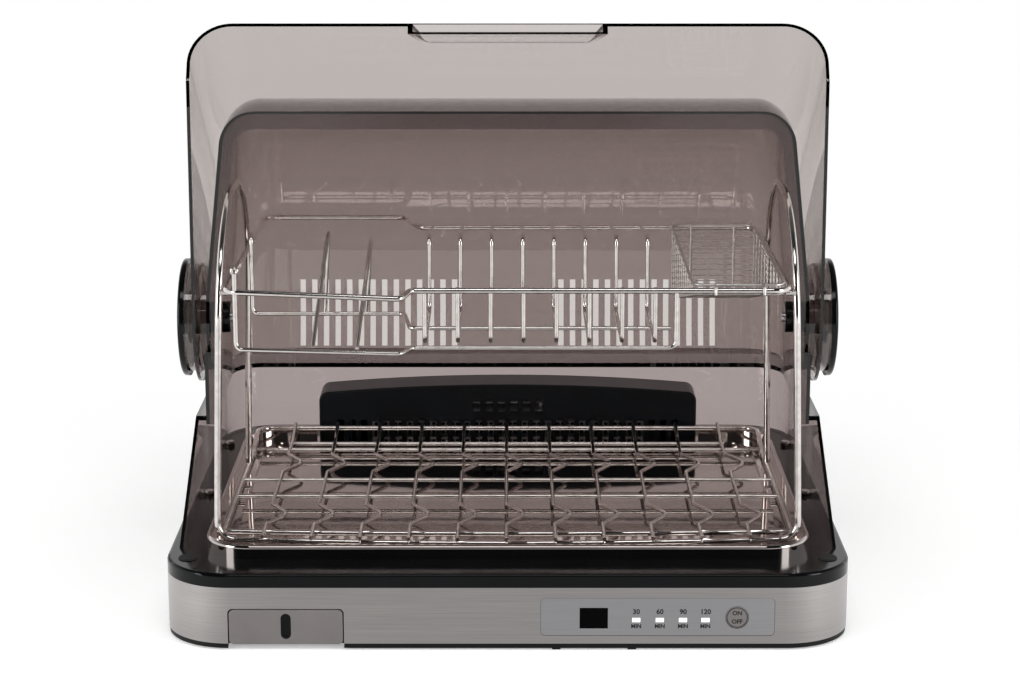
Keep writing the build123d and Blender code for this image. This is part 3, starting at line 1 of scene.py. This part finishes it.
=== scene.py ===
import bpy
import math
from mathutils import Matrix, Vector


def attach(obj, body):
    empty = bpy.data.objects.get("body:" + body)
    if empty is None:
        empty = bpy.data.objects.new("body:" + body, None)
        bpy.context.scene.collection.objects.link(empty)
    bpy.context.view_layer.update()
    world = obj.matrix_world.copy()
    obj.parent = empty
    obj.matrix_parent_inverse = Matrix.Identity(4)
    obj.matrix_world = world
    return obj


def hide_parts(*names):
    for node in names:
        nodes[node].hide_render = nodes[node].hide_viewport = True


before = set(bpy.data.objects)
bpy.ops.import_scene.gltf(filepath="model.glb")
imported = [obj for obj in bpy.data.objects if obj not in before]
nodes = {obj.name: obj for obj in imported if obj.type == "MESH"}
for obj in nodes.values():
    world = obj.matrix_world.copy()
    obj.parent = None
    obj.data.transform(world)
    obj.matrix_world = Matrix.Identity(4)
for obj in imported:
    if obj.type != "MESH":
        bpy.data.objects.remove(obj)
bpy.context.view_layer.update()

mm = 0.001
print("frame loaded:", len(nodes), "nodes")


def hexColour(code):  # sRGB hex to linear
    parts = [int(code[i:i + 2], 16) / 255 for i in (1, 3, 5)]
    return tuple(p / 12.92 if p <= 0.04045 else ((p + 0.055) / 1.055) ** 2.4 for p in parts) + (1.0,)


# One node with its settings, its sockets' values and links, and a colour ramp's stops
def addNode(tree, kind, values=None, links=None, stops=(), **settings):
    node = tree.nodes.new(kind)
    for name, value in settings.items():
        setattr(node, name, value)
    for name, value in (values or {}).items():
        node.inputs[name].default_value = value
    for name, source in (links or {}).items():
        tree.links.new(source, node.inputs[name])
    for i, (place, code) in enumerate(stops):
        node.color_ramp.elements[i].position = place
        node.color_ramp.elements[i].color = hexColour(code)
    return node


def newMaterial(name, scale=(1, 1, 1)):  # an empty material, and the object's coordinates for its pattern
    material = bpy.data.materials.new(name)
    material.use_nodes = True
    tree = material.node_tree
    tree.nodes.clear()
    coords = addNode(tree, "ShaderNodeTexCoord")
    scaled = addNode(tree, "ShaderNodeMapping", {"Scale": scale}, {"Vector": coords.outputs["Object"]})
    return material, tree, scaled.outputs["Vector"]


# Moulded plastics and rubber: the colour clouds faintly, and the skin has the mould's grain. The real grain
# is a tenth or two of a millimetre wide, too fine to show, and is drawn coarser
cloudMm = 40.0
cloudStops = (0.35, 0.65)
skinDepth = 0.2 * mm
plastics = {
    # ABS from a polished mould: a deep black with clear reflections
    "glossBlackAbs": {"dark": "#060708", "light": "#0a0b0d", "rough": (0.10, 0.16), "grainMm": 9.0,
                      "bump": 0.01, "specular": 0.22},
    # ABS from a finely etched mould: black with a soft sheen
    "satinBlackAbs": {"dark": "#0a0c0f", "light": "#101419", "rough": (0.30, 0.38), "grainMm": 1.0,
                      "bump": 0.06, "specular": 0.25},
    # polypropylene from a textured mould: a duller black
    "satinBlackPp": {"dark": "#0b0b0d", "light": "#111113", "rough": (0.42, 0.52), "grainMm": 0.8,
                     "bump": 0.10, "specular": 0.25},
    # ABS from an etched mould: a warm mid grey with a soft sheen
    "satinGreyAbs": {"dark": "#777271", "light": "#7f7a79", "rough": (0.26, 0.34), "grainMm": 1.2,
                     "bump": 0.05},
    # moulded rubber: matt, faintly grainy
    "blackRubber": {"dark": "#161616", "light": "#1f1f1f", "rough": (0.62, 0.74), "grainMm": 0.6,
                    "bump": 0.14},
    # tinted acrylic over the display: nearly black and glassy, with little reflection
    "smokedDisplay": {"dark": "#020203", "light": "#040405", "rough": (0.05, 0.09), "grainMm": 14.0,
                      "bump": 0.004, "specular": 0.05},
    # frosted acrylic, lit from behind: an even, pale glow
    "litLens": {"dark": "#e9e7e6", "light": "#f7f6f5", "rough": (0.22, 0.30), "grainMm": 1.0,
                "bump": 0.03, "glow": 0.9},
    # pad printed ink: flat and nearly black
    "printedInk": {"dark": "#171617", "light": "#201e1f", "rough": (0.40, 0.50), "grainMm": 0.5,
                   "bump": 0.02},
    # lacquered circuit board: dark green, half gloss
    "greenSolderMask": {"dark": "#0d3b22", "light": "#12502e", "rough": (0.28, 0.40), "grainMm": 3.0,
                        "bump": 0.05},
    # uncoloured moulded nylon: milky and waxy
    "naturalNylon": {"dark": "#cfcbc2", "light": "#dcd8cf", "rough": (0.34, 0.42), "grainMm": 1.0,
                     "bump": 0.05},
    # extruded PVC sleeve: dull black
    "cableSleeve": {"dark": "#121213", "light": "#19191b", "rough": (0.45, 0.55), "grainMm": 0.9,
                    "bump": 0.12},
}


def plastic(name):
    spec = plastics[name]
    material, tree, coords = newMaterial(name)
    cloud = addNode(tree, "ShaderNodeTexNoise", {"Scale": 1 / (cloudMm * mm), "Detail": 3.0},
                    {"Vector": coords})
    grain = addNode(tree, "ShaderNodeTexNoise", {"Scale": 1 / (spec["grainMm"] * mm), "Detail": 2.0},
                    {"Vector": coords})
    bump = addNode(tree, "ShaderNodeBump", {"Strength": spec["bump"], "Distance": skinDepth},
                   {"Height": grain.outputs["Fac"]})
    colour = addNode(tree, "ShaderNodeValToRGB", links={"Fac": cloud.outputs["Fac"]},
                     stops=zip(cloudStops, (spec["dark"], spec["light"])))
    low, high = spec["rough"]
    rough = addNode(tree, "ShaderNodeMapRange", {"To Min": low, "To Max": high},
                    {"Value": cloud.outputs["Fac"]})
    shader = addNode(tree, "ShaderNodeBsdfPrincipled", {
        "IOR": 1.5, "Specular IOR Level": spec.get("specular", 0.5),
        "Emission Strength": spec.get("glow", 0.0), "Emission Color": (1, 1, 1, 1)}, {
        "Base Color": colour.outputs["Color"], "Roughness": rough.outputs["Result"],
        "Normal": bump.outputs["Normal"]})
    addNode(tree, "ShaderNodeOutputMaterial", links={"Surface": shader.outputs["BSDF"]})
    return material


# Metals, with the size of their marks along X, Y and Z in mm. Real brush lines are a few hundredths of a
# millimetre wide and a bronze grain about a tenth, too fine to show, and both are drawn coarser
markStops = (0.3, 0.7)
markDepth = 0.1 * mm
metals = {
    # stainless sheet brushed along its length: a soft grey sheen with fine level lines
    "brushedStainless": {"dark": "#a7a3a2", "light": "#bdb9b7", "rough": (0.24, 0.36),
                         "marksMm": (60.0, 60.0, 0.35), "bump": 0.10},
    # the same sheet with a finer brushing: a little lighter and more even
    "brushedPanel": {"dark": "#abaaac", "light": "#bab9bb", "rough": (0.28, 0.38),
                     "marksMm": (50.0, 50.0, 0.3), "bump": 0.10},
    # pressed and buffed stainless sheet: a mirror with a slow waviness
    "polishedStainless": {"dark": "#b9b0ad", "light": "#cbc3bf", "rough": (0.03, 0.07),
                          "marksMm": (45.0, 45.0, 45.0), "bump": 0.9},
    # drawn steel wire with a bright plating: sharp, small highlights
    "platedWire": {"dark": "#d6d0cc", "light": "#ece6e2", "rough": (0.08, 0.16),
                   "marksMm": (6.0, 6.0, 6.0), "bump": 0.02},
    # the same plating on fine wire: rougher, so highlights spread to an even grey, with a painted highlight
    # that lifts its colour a little
    "nettingWirePaintedBright": {"dark": "#d8d2ce", "light": "#efe9e5", "rough": (0.30, 0.40),
                    "marksMm": (4.0, 4.0, 4.0), "bump": 0.02},
    # zinc plated screws and shafts: bright, a little blurred
    "platedScrew": {"dark": "#c4c4c4", "light": "#dadada", "rough": (0.16, 0.24),
                    "marksMm": (2.0, 2.0, 2.0), "bump": 0.03},
    # rolled aluminium as it leaves the mill: pale and dull, with lines along X
    "millAluminium": {"dark": "#b4b4b6", "light": "#c6c6c8", "rough": (0.30, 0.42),
                      "marksMm": (30.0, 2.0, 2.0), "bump": 0.06},
    # galvanised steel sheet: a dull blue grey in soft patches
    "zincPlate": {"dark": "#8d8f92", "light": "#a3a5a8", "rough": (0.32, 0.44),
                  "marksMm": (8.0, 8.0, 8.0), "bump": 0.05},
    # pressed and sintered bronze: a dull brown gold, grainy
    "sinteredBronze": {"dark": "#8a6436", "light": "#a87d47", "rough": (0.38, 0.50),
                       "marksMm": (0.8, 0.8, 0.8), "bump": 0.12},
}


def metal(name):
    spec = metals[name]
    material, tree, coords = newMaterial(name, tuple(1 / (size * mm) for size in spec["marksMm"]))
    lines = addNode(tree, "ShaderNodeTexNoise", {"Scale": 1.0, "Detail": 4.0, "Roughness": 0.6},
                    {"Vector": coords})
    bump = addNode(tree, "ShaderNodeBump", {"Strength": spec["bump"], "Distance": markDepth},
                   {"Height": lines.outputs["Fac"]})
    colour = addNode(tree, "ShaderNodeValToRGB", links={"Fac": lines.outputs["Fac"]},
                     stops=zip(markStops, (spec["dark"], spec["light"])))
    low, high = spec["rough"]
    rough = addNode(tree, "ShaderNodeMapRange", {"To Min": low, "To Max": high},
                    {"Value": lines.outputs["Fac"]})
    shader = addNode(tree, "ShaderNodeBsdfPrincipled", {"Metallic": 1.0}, {
        "Base Color": colour.outputs["Color"], "Roughness": rough.outputs["Result"],
        "Normal": bump.outputs["Normal"]})
    addNode(tree, "ShaderNodeOutputMaterial", links={"Surface": shader.outputs["BSDF"]})
    return material


# Smoked styrene of the covers: clear and polished on both faces, a warm grey dye in the thickness, so that
# the 2.5 mm walls are a light brown and their edges, where the light goes further, are nearly black. The
# fixed rear cover is painted darker than the front one, with a greyer surface and more dye: painted shade, as
# both covers are the same styrene. The shadow's share is what a face lets through
styrene = {"rough": 0.0, "ior": 1.5, "waveMm": 90.0, "waveDepthMm": 1.0, "bump": 0.02, "shadowShare": 0.95}
smokes = {
    "smokedStyrene": {"surface": "#efedeb", "dye": "#eae6e5", "dyePerMetre": 650.0},
    # painted shade: the rear cover's greyer surface and denser dye darken it beyond the front cover's styrene
    "shadedSmokedStyrene": {"surface": "#e2dcdb", "dye": "#dcd6d5", "dyePerMetre": 930.0},
}


def smokedStyrene(name):
    smoke = smokes[name]
    share = styrene["shadowShare"]
    material, tree, coords = newMaterial(name)
    waves = addNode(tree, "ShaderNodeTexNoise", {"Scale": 1 / (styrene["waveMm"] * mm), "Detail": 1.0},
                    {"Vector": coords})
    bump = addNode(tree, "ShaderNodeBump", {"Strength": styrene["bump"],
                                            "Distance": styrene["waveDepthMm"] * mm},
                   {"Height": waves.outputs["Fac"]})
    glass = addNode(tree, "ShaderNodeBsdfPrincipled", {
        "Base Color": hexColour(smoke["surface"]), "Roughness": styrene["rough"], "IOR": styrene["ior"],
        "Transmission Weight": 1.0}, {"Normal": bump.outputs["Normal"]})
    clear = addNode(tree, "ShaderNodeBsdfTransparent", {"Color": (share, share, share, 1.0)})
    path = addNode(tree, "ShaderNodeLightPath")
    mix = addNode(tree, "ShaderNodeMixShader", links={
        0: path.outputs["Is Shadow Ray"], 1: glass.outputs["BSDF"], 2: clear.outputs["BSDF"]})
    dye = addNode(tree, "ShaderNodeVolumeAbsorption", {"Color": hexColour(smoke["dye"]),
                                                       "Density": smoke["dyePerMetre"]})
    addNode(tree, "ShaderNodeOutputMaterial", links={
        "Surface": mix.outputs["Shader"], "Volume": dye.outputs["Volume"]})
    return material


finishes = {name: plastic(name) for name in plastics}
finishes.update({name: metal(name) for name in metals})
finishes.update({name: smokedStyrene(name) for name in smokes})

nodeFinish = {
    "smokedStyrene": ["front_cover"],
    "shadedSmokedStyrene": ["rear_cover"],
    "glossBlackAbs": ["top_deck", "left_hub_cap", "right_hub_cap", "drawer_grip", "left_hinge_retainer",
                      "right_hinge_retainer"],
    "satinBlackAbs": ["fan_housing"],
    "satinBlackPp": ["base_pan", "fan_back_panel", "switch_plunger", "power_switch", "thermal_cutout"],
    "satinGreyAbs": ["drain_drawer", "power_button"],
    "blackRubber": ["rubber_feet", "deck_bumpers", "power_gland"],
    "smokedDisplay": ["display_window"],
    "litLens": ["indicator_lenses"],
    "greenSolderMask": ["display_module", "control_board", "power_board"],
    "naturalNylon": ["left_hinge_pin", "right_hinge_pin", "left_hinge_bush", "right_hinge_bush"],
    "cableSleeve": ["wiring_loom"],
    "brushedStainless": ["base_band"],
    "brushedPanel": ["control_panel"],
    "polishedStainless": ["drip_tray"],
    "platedWire": ["lower_rack", "left_arch", "right_arch", "upper_rack", "plate_ribs", "rack_dividers",
                   "cutlery_basket"],
    "platedScrew": ["hinge_screws", "base_screws", "cover_screws", "housing_screws", "rotor_shaft"],
    "millAluminium": ["crossflow_wheel", "heater_strip"],
    "zincPlate": ["fan_motor", "transformer"],
    "sinteredBronze": ["shaft_bush"],
}
smoothAngle = math.radians(30)  # edges sharper than this stay crisp
for finish, names in nodeFinish.items():
    for name in names:
        nodes[name].data.materials.clear()
        nodes[name].data.materials.append(finishes[finish])
        bpy.ops.object.select_all(action="DESELECT")
        nodes[name].select_set(True)
        bpy.context.view_layer.objects.active = nodes[name]
        bpy.ops.object.shade_smooth_by_angle(angle=smoothAngle)
print("finishes set on", sum(len(names) for names in nodeFinish.values()), "nodes")


# Cutlery basket, in mm: a netting of fine wires on a thick rim, with two long wires whose ends hook over
# the upper rack, and a bar behind them that rests on the rack's rim
basket = {
    "left": 129.9, "right": 194.1, "front": -144.1, "back": 85.1, "corner": 8.0,
    "rim": 249.8, "shallow": 243.6, "deep": 191.6,
    "rimWire": 2.2, "crossWire": 1.3, "ringWire": 0.9, "floorWire": 1.0, "longWire": 2.2,
    "crossWires": 11, "rings": 13, "floorWires": 8, "crossBend": 3.0, "longBend": 2.4, "endGap": 2.0,
    "longPlaces": (145.0, 179.0), "hookRise": 250.4, "hookFront": -153.2, "hookBack": 93.2,
    "hookDrop": 244.6, "barLeft": 131.0, "barRight": 193.0, "barInset": 3.0,
    "bendSteps": 4, "roundSteps": 1, "sameSpot": 0.01,
}


def bentWire(corners, thick, bend, closed=False):  # a wire through its corners, in mm, with round bends
    bpy.ops.object.select_all(action="DESELECT")
    bpy.ops.mesh.primitive_plane_add(size=mm, location=(0, 0, 0))
    wire = bpy.context.object
    bpy.ops.object.mode_set(mode="EDIT")
    bpy.ops.mesh.select_all(action="SELECT")
    bpy.ops.mesh.merge(type="CENTER")
    bpy.ops.transform.translate(value=Vector(corners[0]) * mm)
    for start, end in zip(corners, corners[1:]):
        run = (Vector(end) - Vector(start)) * mm
        bpy.ops.mesh.extrude_region_move(TRANSFORM_OT_translate={"value": run})
    bpy.ops.mesh.select_all(action="DESELECT")
    bpy.ops.object.mode_set(mode="OBJECT")
    ends = [Vector(corners[0]) * mm, Vector(corners[-1]) * mm]
    for vertex in wire.data.vertices:
        atEnd = any((vertex.co - end).length < basket["sameSpot"] * mm for end in ends)
        vertex.select = atEnd == closed  # the ends to be joined, or the corners to be rounded
    bpy.ops.object.mode_set(mode="EDIT")
    if closed:
        bpy.ops.mesh.edge_face_add()
        bpy.ops.mesh.select_all(action="SELECT")
    if bend:
        bpy.ops.mesh.bevel(offset=bend * mm, segments=basket["bendSteps"], affect="VERTICES")
    bpy.ops.object.mode_set(mode="OBJECT")
    bpy.ops.object.convert(target="CURVE")
    wire.data.bevel_depth = thick / 2 * mm
    wire.data.bevel_resolution = basket["roundSteps"]
    wire.data.use_fill_caps = True
    bpy.ops.object.convert(target="MESH")
    return bpy.context.object


def joinPieces(name, parts, finish):  # several meshes made one finished piece
    bpy.ops.object.select_all(action="DESELECT")
    for part in parts:
        part.select_set(True)
    bpy.context.view_layer.objects.active = parts[0]
    bpy.ops.object.join()
    piece = bpy.context.object
    piece.name = name
    piece.data.materials.clear()
    piece.data.materials.append(finishes[finish])
    return piece


def floorHeight(y):  # the basket's floor slopes down to the back
    share = (y - basket["front"]) / (basket["back"] - basket["front"])
    return basket["shallow"] + share * (basket["deep"] - basket["shallow"])


def floorPlace(z):  # where along the basket its floor reaches a height
    share = (basket["shallow"] - z) / (basket["shallow"] - basket["deep"])
    return basket["front"] + share * (basket["back"] - basket["front"])


def spread(first, last, count):
    return [first + (last - first) * i / (count - 1) for i in range(count)]


def makeBasket():
    left, right, front, back, rim = (basket[key] for key in ("left", "right", "front", "back", "rim"))
    corner, ringWire = basket["corner"], basket["ringWire"]
    rise, drop = basket["hookRise"], basket["hookDrop"]
    wires = [bentWire([(left, back, rim), (left, front, rim), (right, front, rim), (right, back, rim)],
                      basket["rimWire"], corner, closed=True)]
    first, last = front + corner + basket["endGap"], back - corner - basket["endGap"]
    for y in spread(first, last, basket["crossWires"]):
        low = floorHeight(y)
        wires.append(bentWire([(left, y, rim), (left, y, low), (right, y, low), (right, y, rim)],
                              basket["crossWire"], basket["crossBend"]))
    for z in spread(rim, basket["deep"], basket["rings"] + 1)[1:-1]:
        if z > basket["shallow"]:
            wires.append(bentWire([(left, back, z), (left, front, z), (right, front, z), (right, back, z)],
                                  ringWire, corner, closed=True))
        else:
            stop = floorPlace(z)
            if back - stop > corner:
                ring = [(left, stop, z), (left, back, z), (right, back, z), (right, stop, z)]
                wires.append(bentWire(ring, ringWire, corner))
    for x in spread(left + corner, right - corner, basket["floorWires"]):
        wires.append(bentWire([(x, front, rim), (x, front, basket["shallow"]), (x, back, basket["deep"]),
                               (x, back, basket["deep"] + ringWire)], basket["floorWire"], 0))
    for x in basket["longPlaces"]:
        side = [(basket["hookFront"], drop), (basket["hookFront"], rise), (front, rise),
                (front, basket["shallow"]), (back, basket["deep"]), (back, rise),
                (basket["hookBack"], rise), (basket["hookBack"], drop)]
        wires.append(bentWire([(x, y, z) for y, z in side], basket["longWire"], basket["longBend"]))
    barPlace = basket["hookBack"] - basket["barInset"]
    wires.append(bentWire([(basket["barLeft"], barPlace, rise), (basket["barRight"], barPlace, rise)],
                          basket["longWire"], 0))
    # the netting's finish is the wire plating with a painted highlight, a little lighter than the thick wires
    piece = joinPieces("cutlery_netting", wires, "nettingWirePaintedBright")
    bpy.ops.object.shade_smooth()
    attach(piece, "base")
    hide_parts("cutlery_basket")
    print("basket netting:", len(wires), "wires,", len(piece.data.polygons), "faces")


# Printed marks of the control strip, in mm: numbers over the lamps, their unit below, and the button's words
marks = {
    "lampRise": 6.0, "lampDrop": 4.6, "numbers": ("30", "60", "90", "120"), "unit": "MIN",
    "numberTall": 3.5, "unitTall": 2.8, "thick": 0.04, "bold": 0.16, "capShare": 0.7,
    "buttonWords": (("ON", 3.1), ("OFF", -3.1)), "buttonTall": 3.0, "buttonRise": 0.01, "lampGap": 7.0,
    "ringRadius": 7.4, "ringWide": 0.6, "ringSides": 64, "curveSteps": 3,
}


def boxOf(name):  # a CAD node's own box, in metres
    corners = [Vector(corner) for corner in nodes[name].bound_box]
    return [tuple(pick(corner[axis] for corner in corners) for axis in range(3)) for pick in (min, max)]


def printedWord(word, x, face, z, tall):  # a flat word on a face that looks to the front
    bpy.ops.object.select_all(action="DESELECT")
    bpy.ops.object.text_add(location=(0, 0, 0))
    label = bpy.context.object
    label.data.body = word
    label.data.align_x = "CENTER"
    label.data.align_y = "CENTER"
    label.data.size = tall / marks["capShare"] * mm
    label.data.resolution_u = marks["curveSteps"]
    label.data.extrude = marks["thick"] / 2 * mm
    label.data.offset = marks["bold"] * mm
    bpy.ops.object.convert(target="MESH")
    label = bpy.context.object
    label.rotation_euler = (math.radians(90), 0, 0)
    label.location = (x, face, z)
    bpy.ops.object.transform_apply(location=True, rotation=True, scale=True)
    return label


def printedRing(x, face, z, radius, wide):  # a thin flat ring: a disc, its middle inset and taken out
    bpy.ops.object.select_all(action="DESELECT")
    bpy.ops.mesh.primitive_circle_add(vertices=marks["ringSides"], radius=radius * mm, fill_type="NGON",
                                      location=(x, face, z), rotation=(math.radians(90), 0, 0))
    ring = bpy.context.object
    bpy.ops.object.transform_apply(location=True, rotation=True, scale=True)
    bpy.ops.object.mode_set(mode="EDIT")
    bpy.ops.mesh.select_all(action="SELECT")
    bpy.ops.mesh.inset(thickness=wide * mm, depth=0)
    bpy.ops.mesh.delete(type="FACE")
    bpy.ops.object.mode_set(mode="OBJECT")
    solid = ring.modifiers.new("thickness", "SOLIDIFY")
    solid.thickness = marks["thick"] * mm
    solid.offset = 0
    bpy.ops.object.modifier_apply(modifier="thickness")
    return ring


def makeMarks():
    low, high = boxOf("indicator_lenses")
    face = boxOf("control_panel")[0][1] - marks["thick"] / 2 * mm
    lampZ = (low[2] + high[2]) / 2
    across = sorted({round(vertex.co.x, 4) for vertex in nodes["indicator_lenses"].data.vertices})
    lampPlaces = [[across[0]]]
    for x in across[1:]:
        if x - lampPlaces[-1][-1] > marks["lampGap"] * mm:
            lampPlaces.append([])
        lampPlaces[-1].append(x)
    words = []
    for number, place in zip(marks["numbers"], lampPlaces):
        x = (place[0] + place[-1]) / 2
        words.append(printedWord(number, x, face, lampZ + marks["lampRise"] * mm, marks["numberTall"]))
        words.append(printedWord(marks["unit"], x, face, lampZ - marks["lampDrop"] * mm, marks["unitTall"]))
    piece = joinPieces("panel_marks", words, "printedInk")
    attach(piece, "base")

    low, high = boxOf("power_button")
    x = (low[0] + high[0]) / 2
    z = (low[2] + high[2]) / 2
    face = low[1] - marks["buttonRise"] * mm
    parts = [printedWord(word, x, face, z + rise * mm, marks["buttonTall"])
             for word, rise in marks["buttonWords"]]
    parts.append(printedRing(x, face, z, marks["ringRadius"], marks["ringWide"]))
    piece = joinPieces("button_marks", parts, "printedInk")
    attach(piece, "button")
    print("marks printed:", len(words), "words on the panel,", len(lampPlaces), "lamps")


def lookAt(obj, target):
    obj.rotation_euler = (Vector(target) - obj.location).to_track_quat("-Z", "Y").to_euler()


# A plain studio, in metres and watts: a white sweep, a soft key above and a fill at each side. Bare metal and
# gloss reflect a dark room behind the camera, a grey ceiling, white cards at the sides and the table's edge.
# Where the room changes is given by a direction's share along an axis, from -1 to 1
studio = {
    "floorSize": 9.0,
    "backgroundWhite": 1.0,
    "ambient": 0.50,
    "frontGrey": 0.03, "frontFrom": -0.5, "frontTo": 0.35,
    "ceilingGrey": 0.10, "ceilingFrom": 0.25, "ceilingTo": 0.75,
    "cardWhite": 0.95, "cardFrom": 0.55, "cardTo": 0.90,
    "tableGrey": 0.60, "tableFrom": 0.16, "tableTo": 0.34,
    "paperDark": "#f2f2f2", "paperLight": "#f6f6f6", "paperStops": (0.3, 0.7), "paperRough": 0.5,
    "fibresPerMetre": 300.0, "paperGlow": 0.34, "whiteFrom": 0.30, "whiteTo": 0.75,
    "lamps": [
        {"name": "keyAbove", "place": (0.0, -1.5, 2.3), "aim": (0, 0, 0.15), "size": (1.4, 0.5), "watts": 11},
        {"name": "leftFill", "place": (-1.9, -1.3, 0.6), "aim": (0, 0, 0.2), "size": (0.7, 1.5), "watts": 20},
        {"name": "rightFill", "place": (1.9, -1.3, 0.6), "aim": (0, 0, 0.2), "size": (0.7, 1.5), "watts": 20},
    ],
}


def makeStudio():
    bpy.ops.object.select_all(action="DESELECT")
    bpy.ops.mesh.primitive_plane_add(size=studio["floorSize"], location=(0, 0, 0))
    floor = bpy.context.object
    floor.name = "studioFloor"
    # white paper: matt, faintly mottled by its fibres, which are drawn coarser than they are
    material, tree, coords = newMaterial("whitePaperSweep")
    fibres = addNode(tree, "ShaderNodeTexNoise", {"Scale": studio["fibresPerMetre"], "Detail": 2.0},
                     {"Vector": coords})
    colour = addNode(tree, "ShaderNodeValToRGB", links={"Fac": fibres.outputs["Fac"]},
                     stops=zip(studio["paperStops"], (studio["paperDark"], studio["paperLight"])))
    paper = addNode(tree, "ShaderNodeBsdfDiffuse", {"Roughness": studio["paperRough"]},
                    {"Color": colour.outputs["Color"]})
    # the sweep turns to plain white away from the object, and keeps the shadow near it
    away = addNode(tree, "ShaderNodeVectorMath", operation="LENGTH", links={0: coords})
    share = addNode(tree, "ShaderNodeMapRange", {"From Min": studio["whiteFrom"],
                                                 "From Max": studio["whiteTo"]},
                    {"Value": away.outputs["Value"]}, interpolation_type="SMOOTHSTEP")
    glow = addNode(tree, "ShaderNodeEmission", {"Color": (1, 1, 1, 1), "Strength": studio["paperGlow"]})
    near = addNode(tree, "ShaderNodeAddShader", links={0: paper.outputs["BSDF"], 1: glow.outputs["Emission"]})
    white = addNode(tree, "ShaderNodeEmission", {"Color": (1, 1, 1, 1),
                                                 "Strength": studio["backgroundWhite"]})
    sweep = addNode(tree, "ShaderNodeMixShader", links={0: share.outputs["Result"], 1: near.outputs["Shader"],
                                                        2: white.outputs["Emission"]})
    # in reflections the paper in front of the object is grey, as a table's edge, and white at its sides
    places = addNode(tree, "ShaderNodeSeparateXYZ", links={"Vector": coords})
    aside = addNode(tree, "ShaderNodeMath", operation="ABSOLUTE", links={0: places.outputs["X"]})
    level = addNode(tree, "ShaderNodeMapRange", {"From Min": studio["tableFrom"],
                                                 "From Max": studio["tableTo"],
                                                 "To Min": studio["tableGrey"]},
                    {"Value": aside.outputs["Value"]}, interpolation_type="SMOOTHSTEP")
    mirrored = addNode(tree, "ShaderNodeEmission", {"Color": (1, 1, 1, 1)},
                       {"Strength": level.outputs["Result"]})
    path = addNode(tree, "ShaderNodeLightPath")
    unseen = addNode(tree, "ShaderNodeMixShader", links={
        0: path.outputs["Is Glossy Ray"], 1: paper.outputs["BSDF"], 2: mirrored.outputs["Emission"]})
    # what the camera sees, also through the covers, is the sweep
    seen = addNode(tree, "ShaderNodeMath", operation="MAXIMUM",
                   links={0: path.outputs["Is Camera Ray"], 1: path.outputs["Is Transmission Ray"]})
    mix = addNode(tree, "ShaderNodeMixShader", links={0: seen.outputs["Value"], 1: unseen.outputs["Shader"],
                                                      2: sweep.outputs["Shader"]})
    addNode(tree, "ShaderNodeOutputMaterial", links={"Surface": mix.outputs["Shader"]})
    floor.data.materials.append(material)

    for lamp in studio["lamps"]:
        bpy.ops.object.light_add(type="AREA", location=lamp["place"])
        light = bpy.context.object
        light.name = lamp["name"]
        light.data.shape = "RECTANGLE"
        light.data.size, light.data.size_y = lamp["size"]
        light.data.energy = lamp["watts"]
        lookAt(light, lamp["aim"])

    world = bpy.data.worlds.new("whiteStudio")
    bpy.context.scene.world = world
    world.use_nodes = True
    tree = world.node_tree
    tree.nodes.clear()
    path = addNode(tree, "ShaderNodeLightPath")
    seen = addNode(tree, "ShaderNodeMath", operation="MAXIMUM",
                   links={0: path.outputs["Is Camera Ray"], 1: path.outputs["Is Transmission Ray"]})
    # the room behind the camera is greyer than the white sweep behind the object
    direction = addNode(tree, "ShaderNodeTexCoord").outputs["Generated"]
    split = addNode(tree, "ShaderNodeSeparateXYZ", links={"Vector": direction})
    towards = addNode(tree, "ShaderNodeMapRange", {"From Min": studio["frontFrom"],
                                                   "From Max": studio["frontTo"],
                                                   "To Min": studio["frontGrey"],
                                                   "To Max": studio["backgroundWhite"]},
                      {"Value": split.outputs["Y"]}, interpolation_type="SMOOTHSTEP")
    lower = addNode(tree, "ShaderNodeMapRange", {"From Min": studio["ceilingFrom"],
                                                 "From Max": studio["ceilingTo"], "To Min": 1.0,
                                                 "To Max": studio["ceilingGrey"]},
                    {"Value": split.outputs["Z"]}, interpolation_type="SMOOTHSTEP")
    # tall white cards stand to the left and right, so that bent metal has bright sides
    across = addNode(tree, "ShaderNodeMath", operation="ABSOLUTE", links={0: split.outputs["X"]})
    cards = addNode(tree, "ShaderNodeMapRange", {"From Min": studio["cardFrom"], "From Max": studio["cardTo"],
                                                 "To Max": studio["cardWhite"]},
                    {"Value": across.outputs["Value"]}, interpolation_type="SMOOTHSTEP")
    walls = addNode(tree, "ShaderNodeMath", operation="MAXIMUM",
                    links={0: towards.outputs["Result"], 1: cards.outputs["Result"]})
    room = addNode(tree, "ShaderNodeMath", operation="MULTIPLY",
                   links={0: walls.outputs["Value"], 1: lower.outputs["Result"]})
    mirrored = addNode(tree, "ShaderNodeMix", data_type="FLOAT", links={0: path.outputs["Is Glossy Ray"],
                                                                      3: room.outputs["Value"]})
    mirrored.inputs[2].default_value = studio["ambient"]
    level = addNode(tree, "ShaderNodeMix", data_type="FLOAT", links={0: seen.outputs["Value"],
                                                                   2: mirrored.outputs[0]})
    level.inputs[3].default_value = studio["backgroundWhite"]
    sky = addNode(tree, "ShaderNodeBackground", {"Color": (1, 1, 1, 1)}, {"Strength": level.outputs[0]})
    addNode(tree, "ShaderNodeOutputWorld", links={"Surface": sky.outputs["Background"]})
    print("studio ready")


# Where the photographer stood: metres, degrees and millimetres of sensor and lens
camera = {
    "place": (0.0, -1.817, 0.603),
    "pitchDown": 13.21,
    "sensor": 36.0,
    "lens": 86.21,
    "shiftX": 0.0022,
}


def makeCamera():
    bpy.ops.object.camera_add(location=camera["place"],
                              rotation=(math.radians(90 - camera["pitchDown"]), 0, 0))
    cam = bpy.context.object
    cam.name = "photoCamera"
    cam.data.sensor_width = camera["sensor"]
    cam.data.lens = camera["lens"]
    cam.data.shift_x = camera["shiftX"]
    bpy.context.scene.camera = cam
    print("camera ready")


makeBasket()
makeMarks()
makeStudio()
makeCamera()
bpy.context.scene.view_settings.view_transform = "Standard"
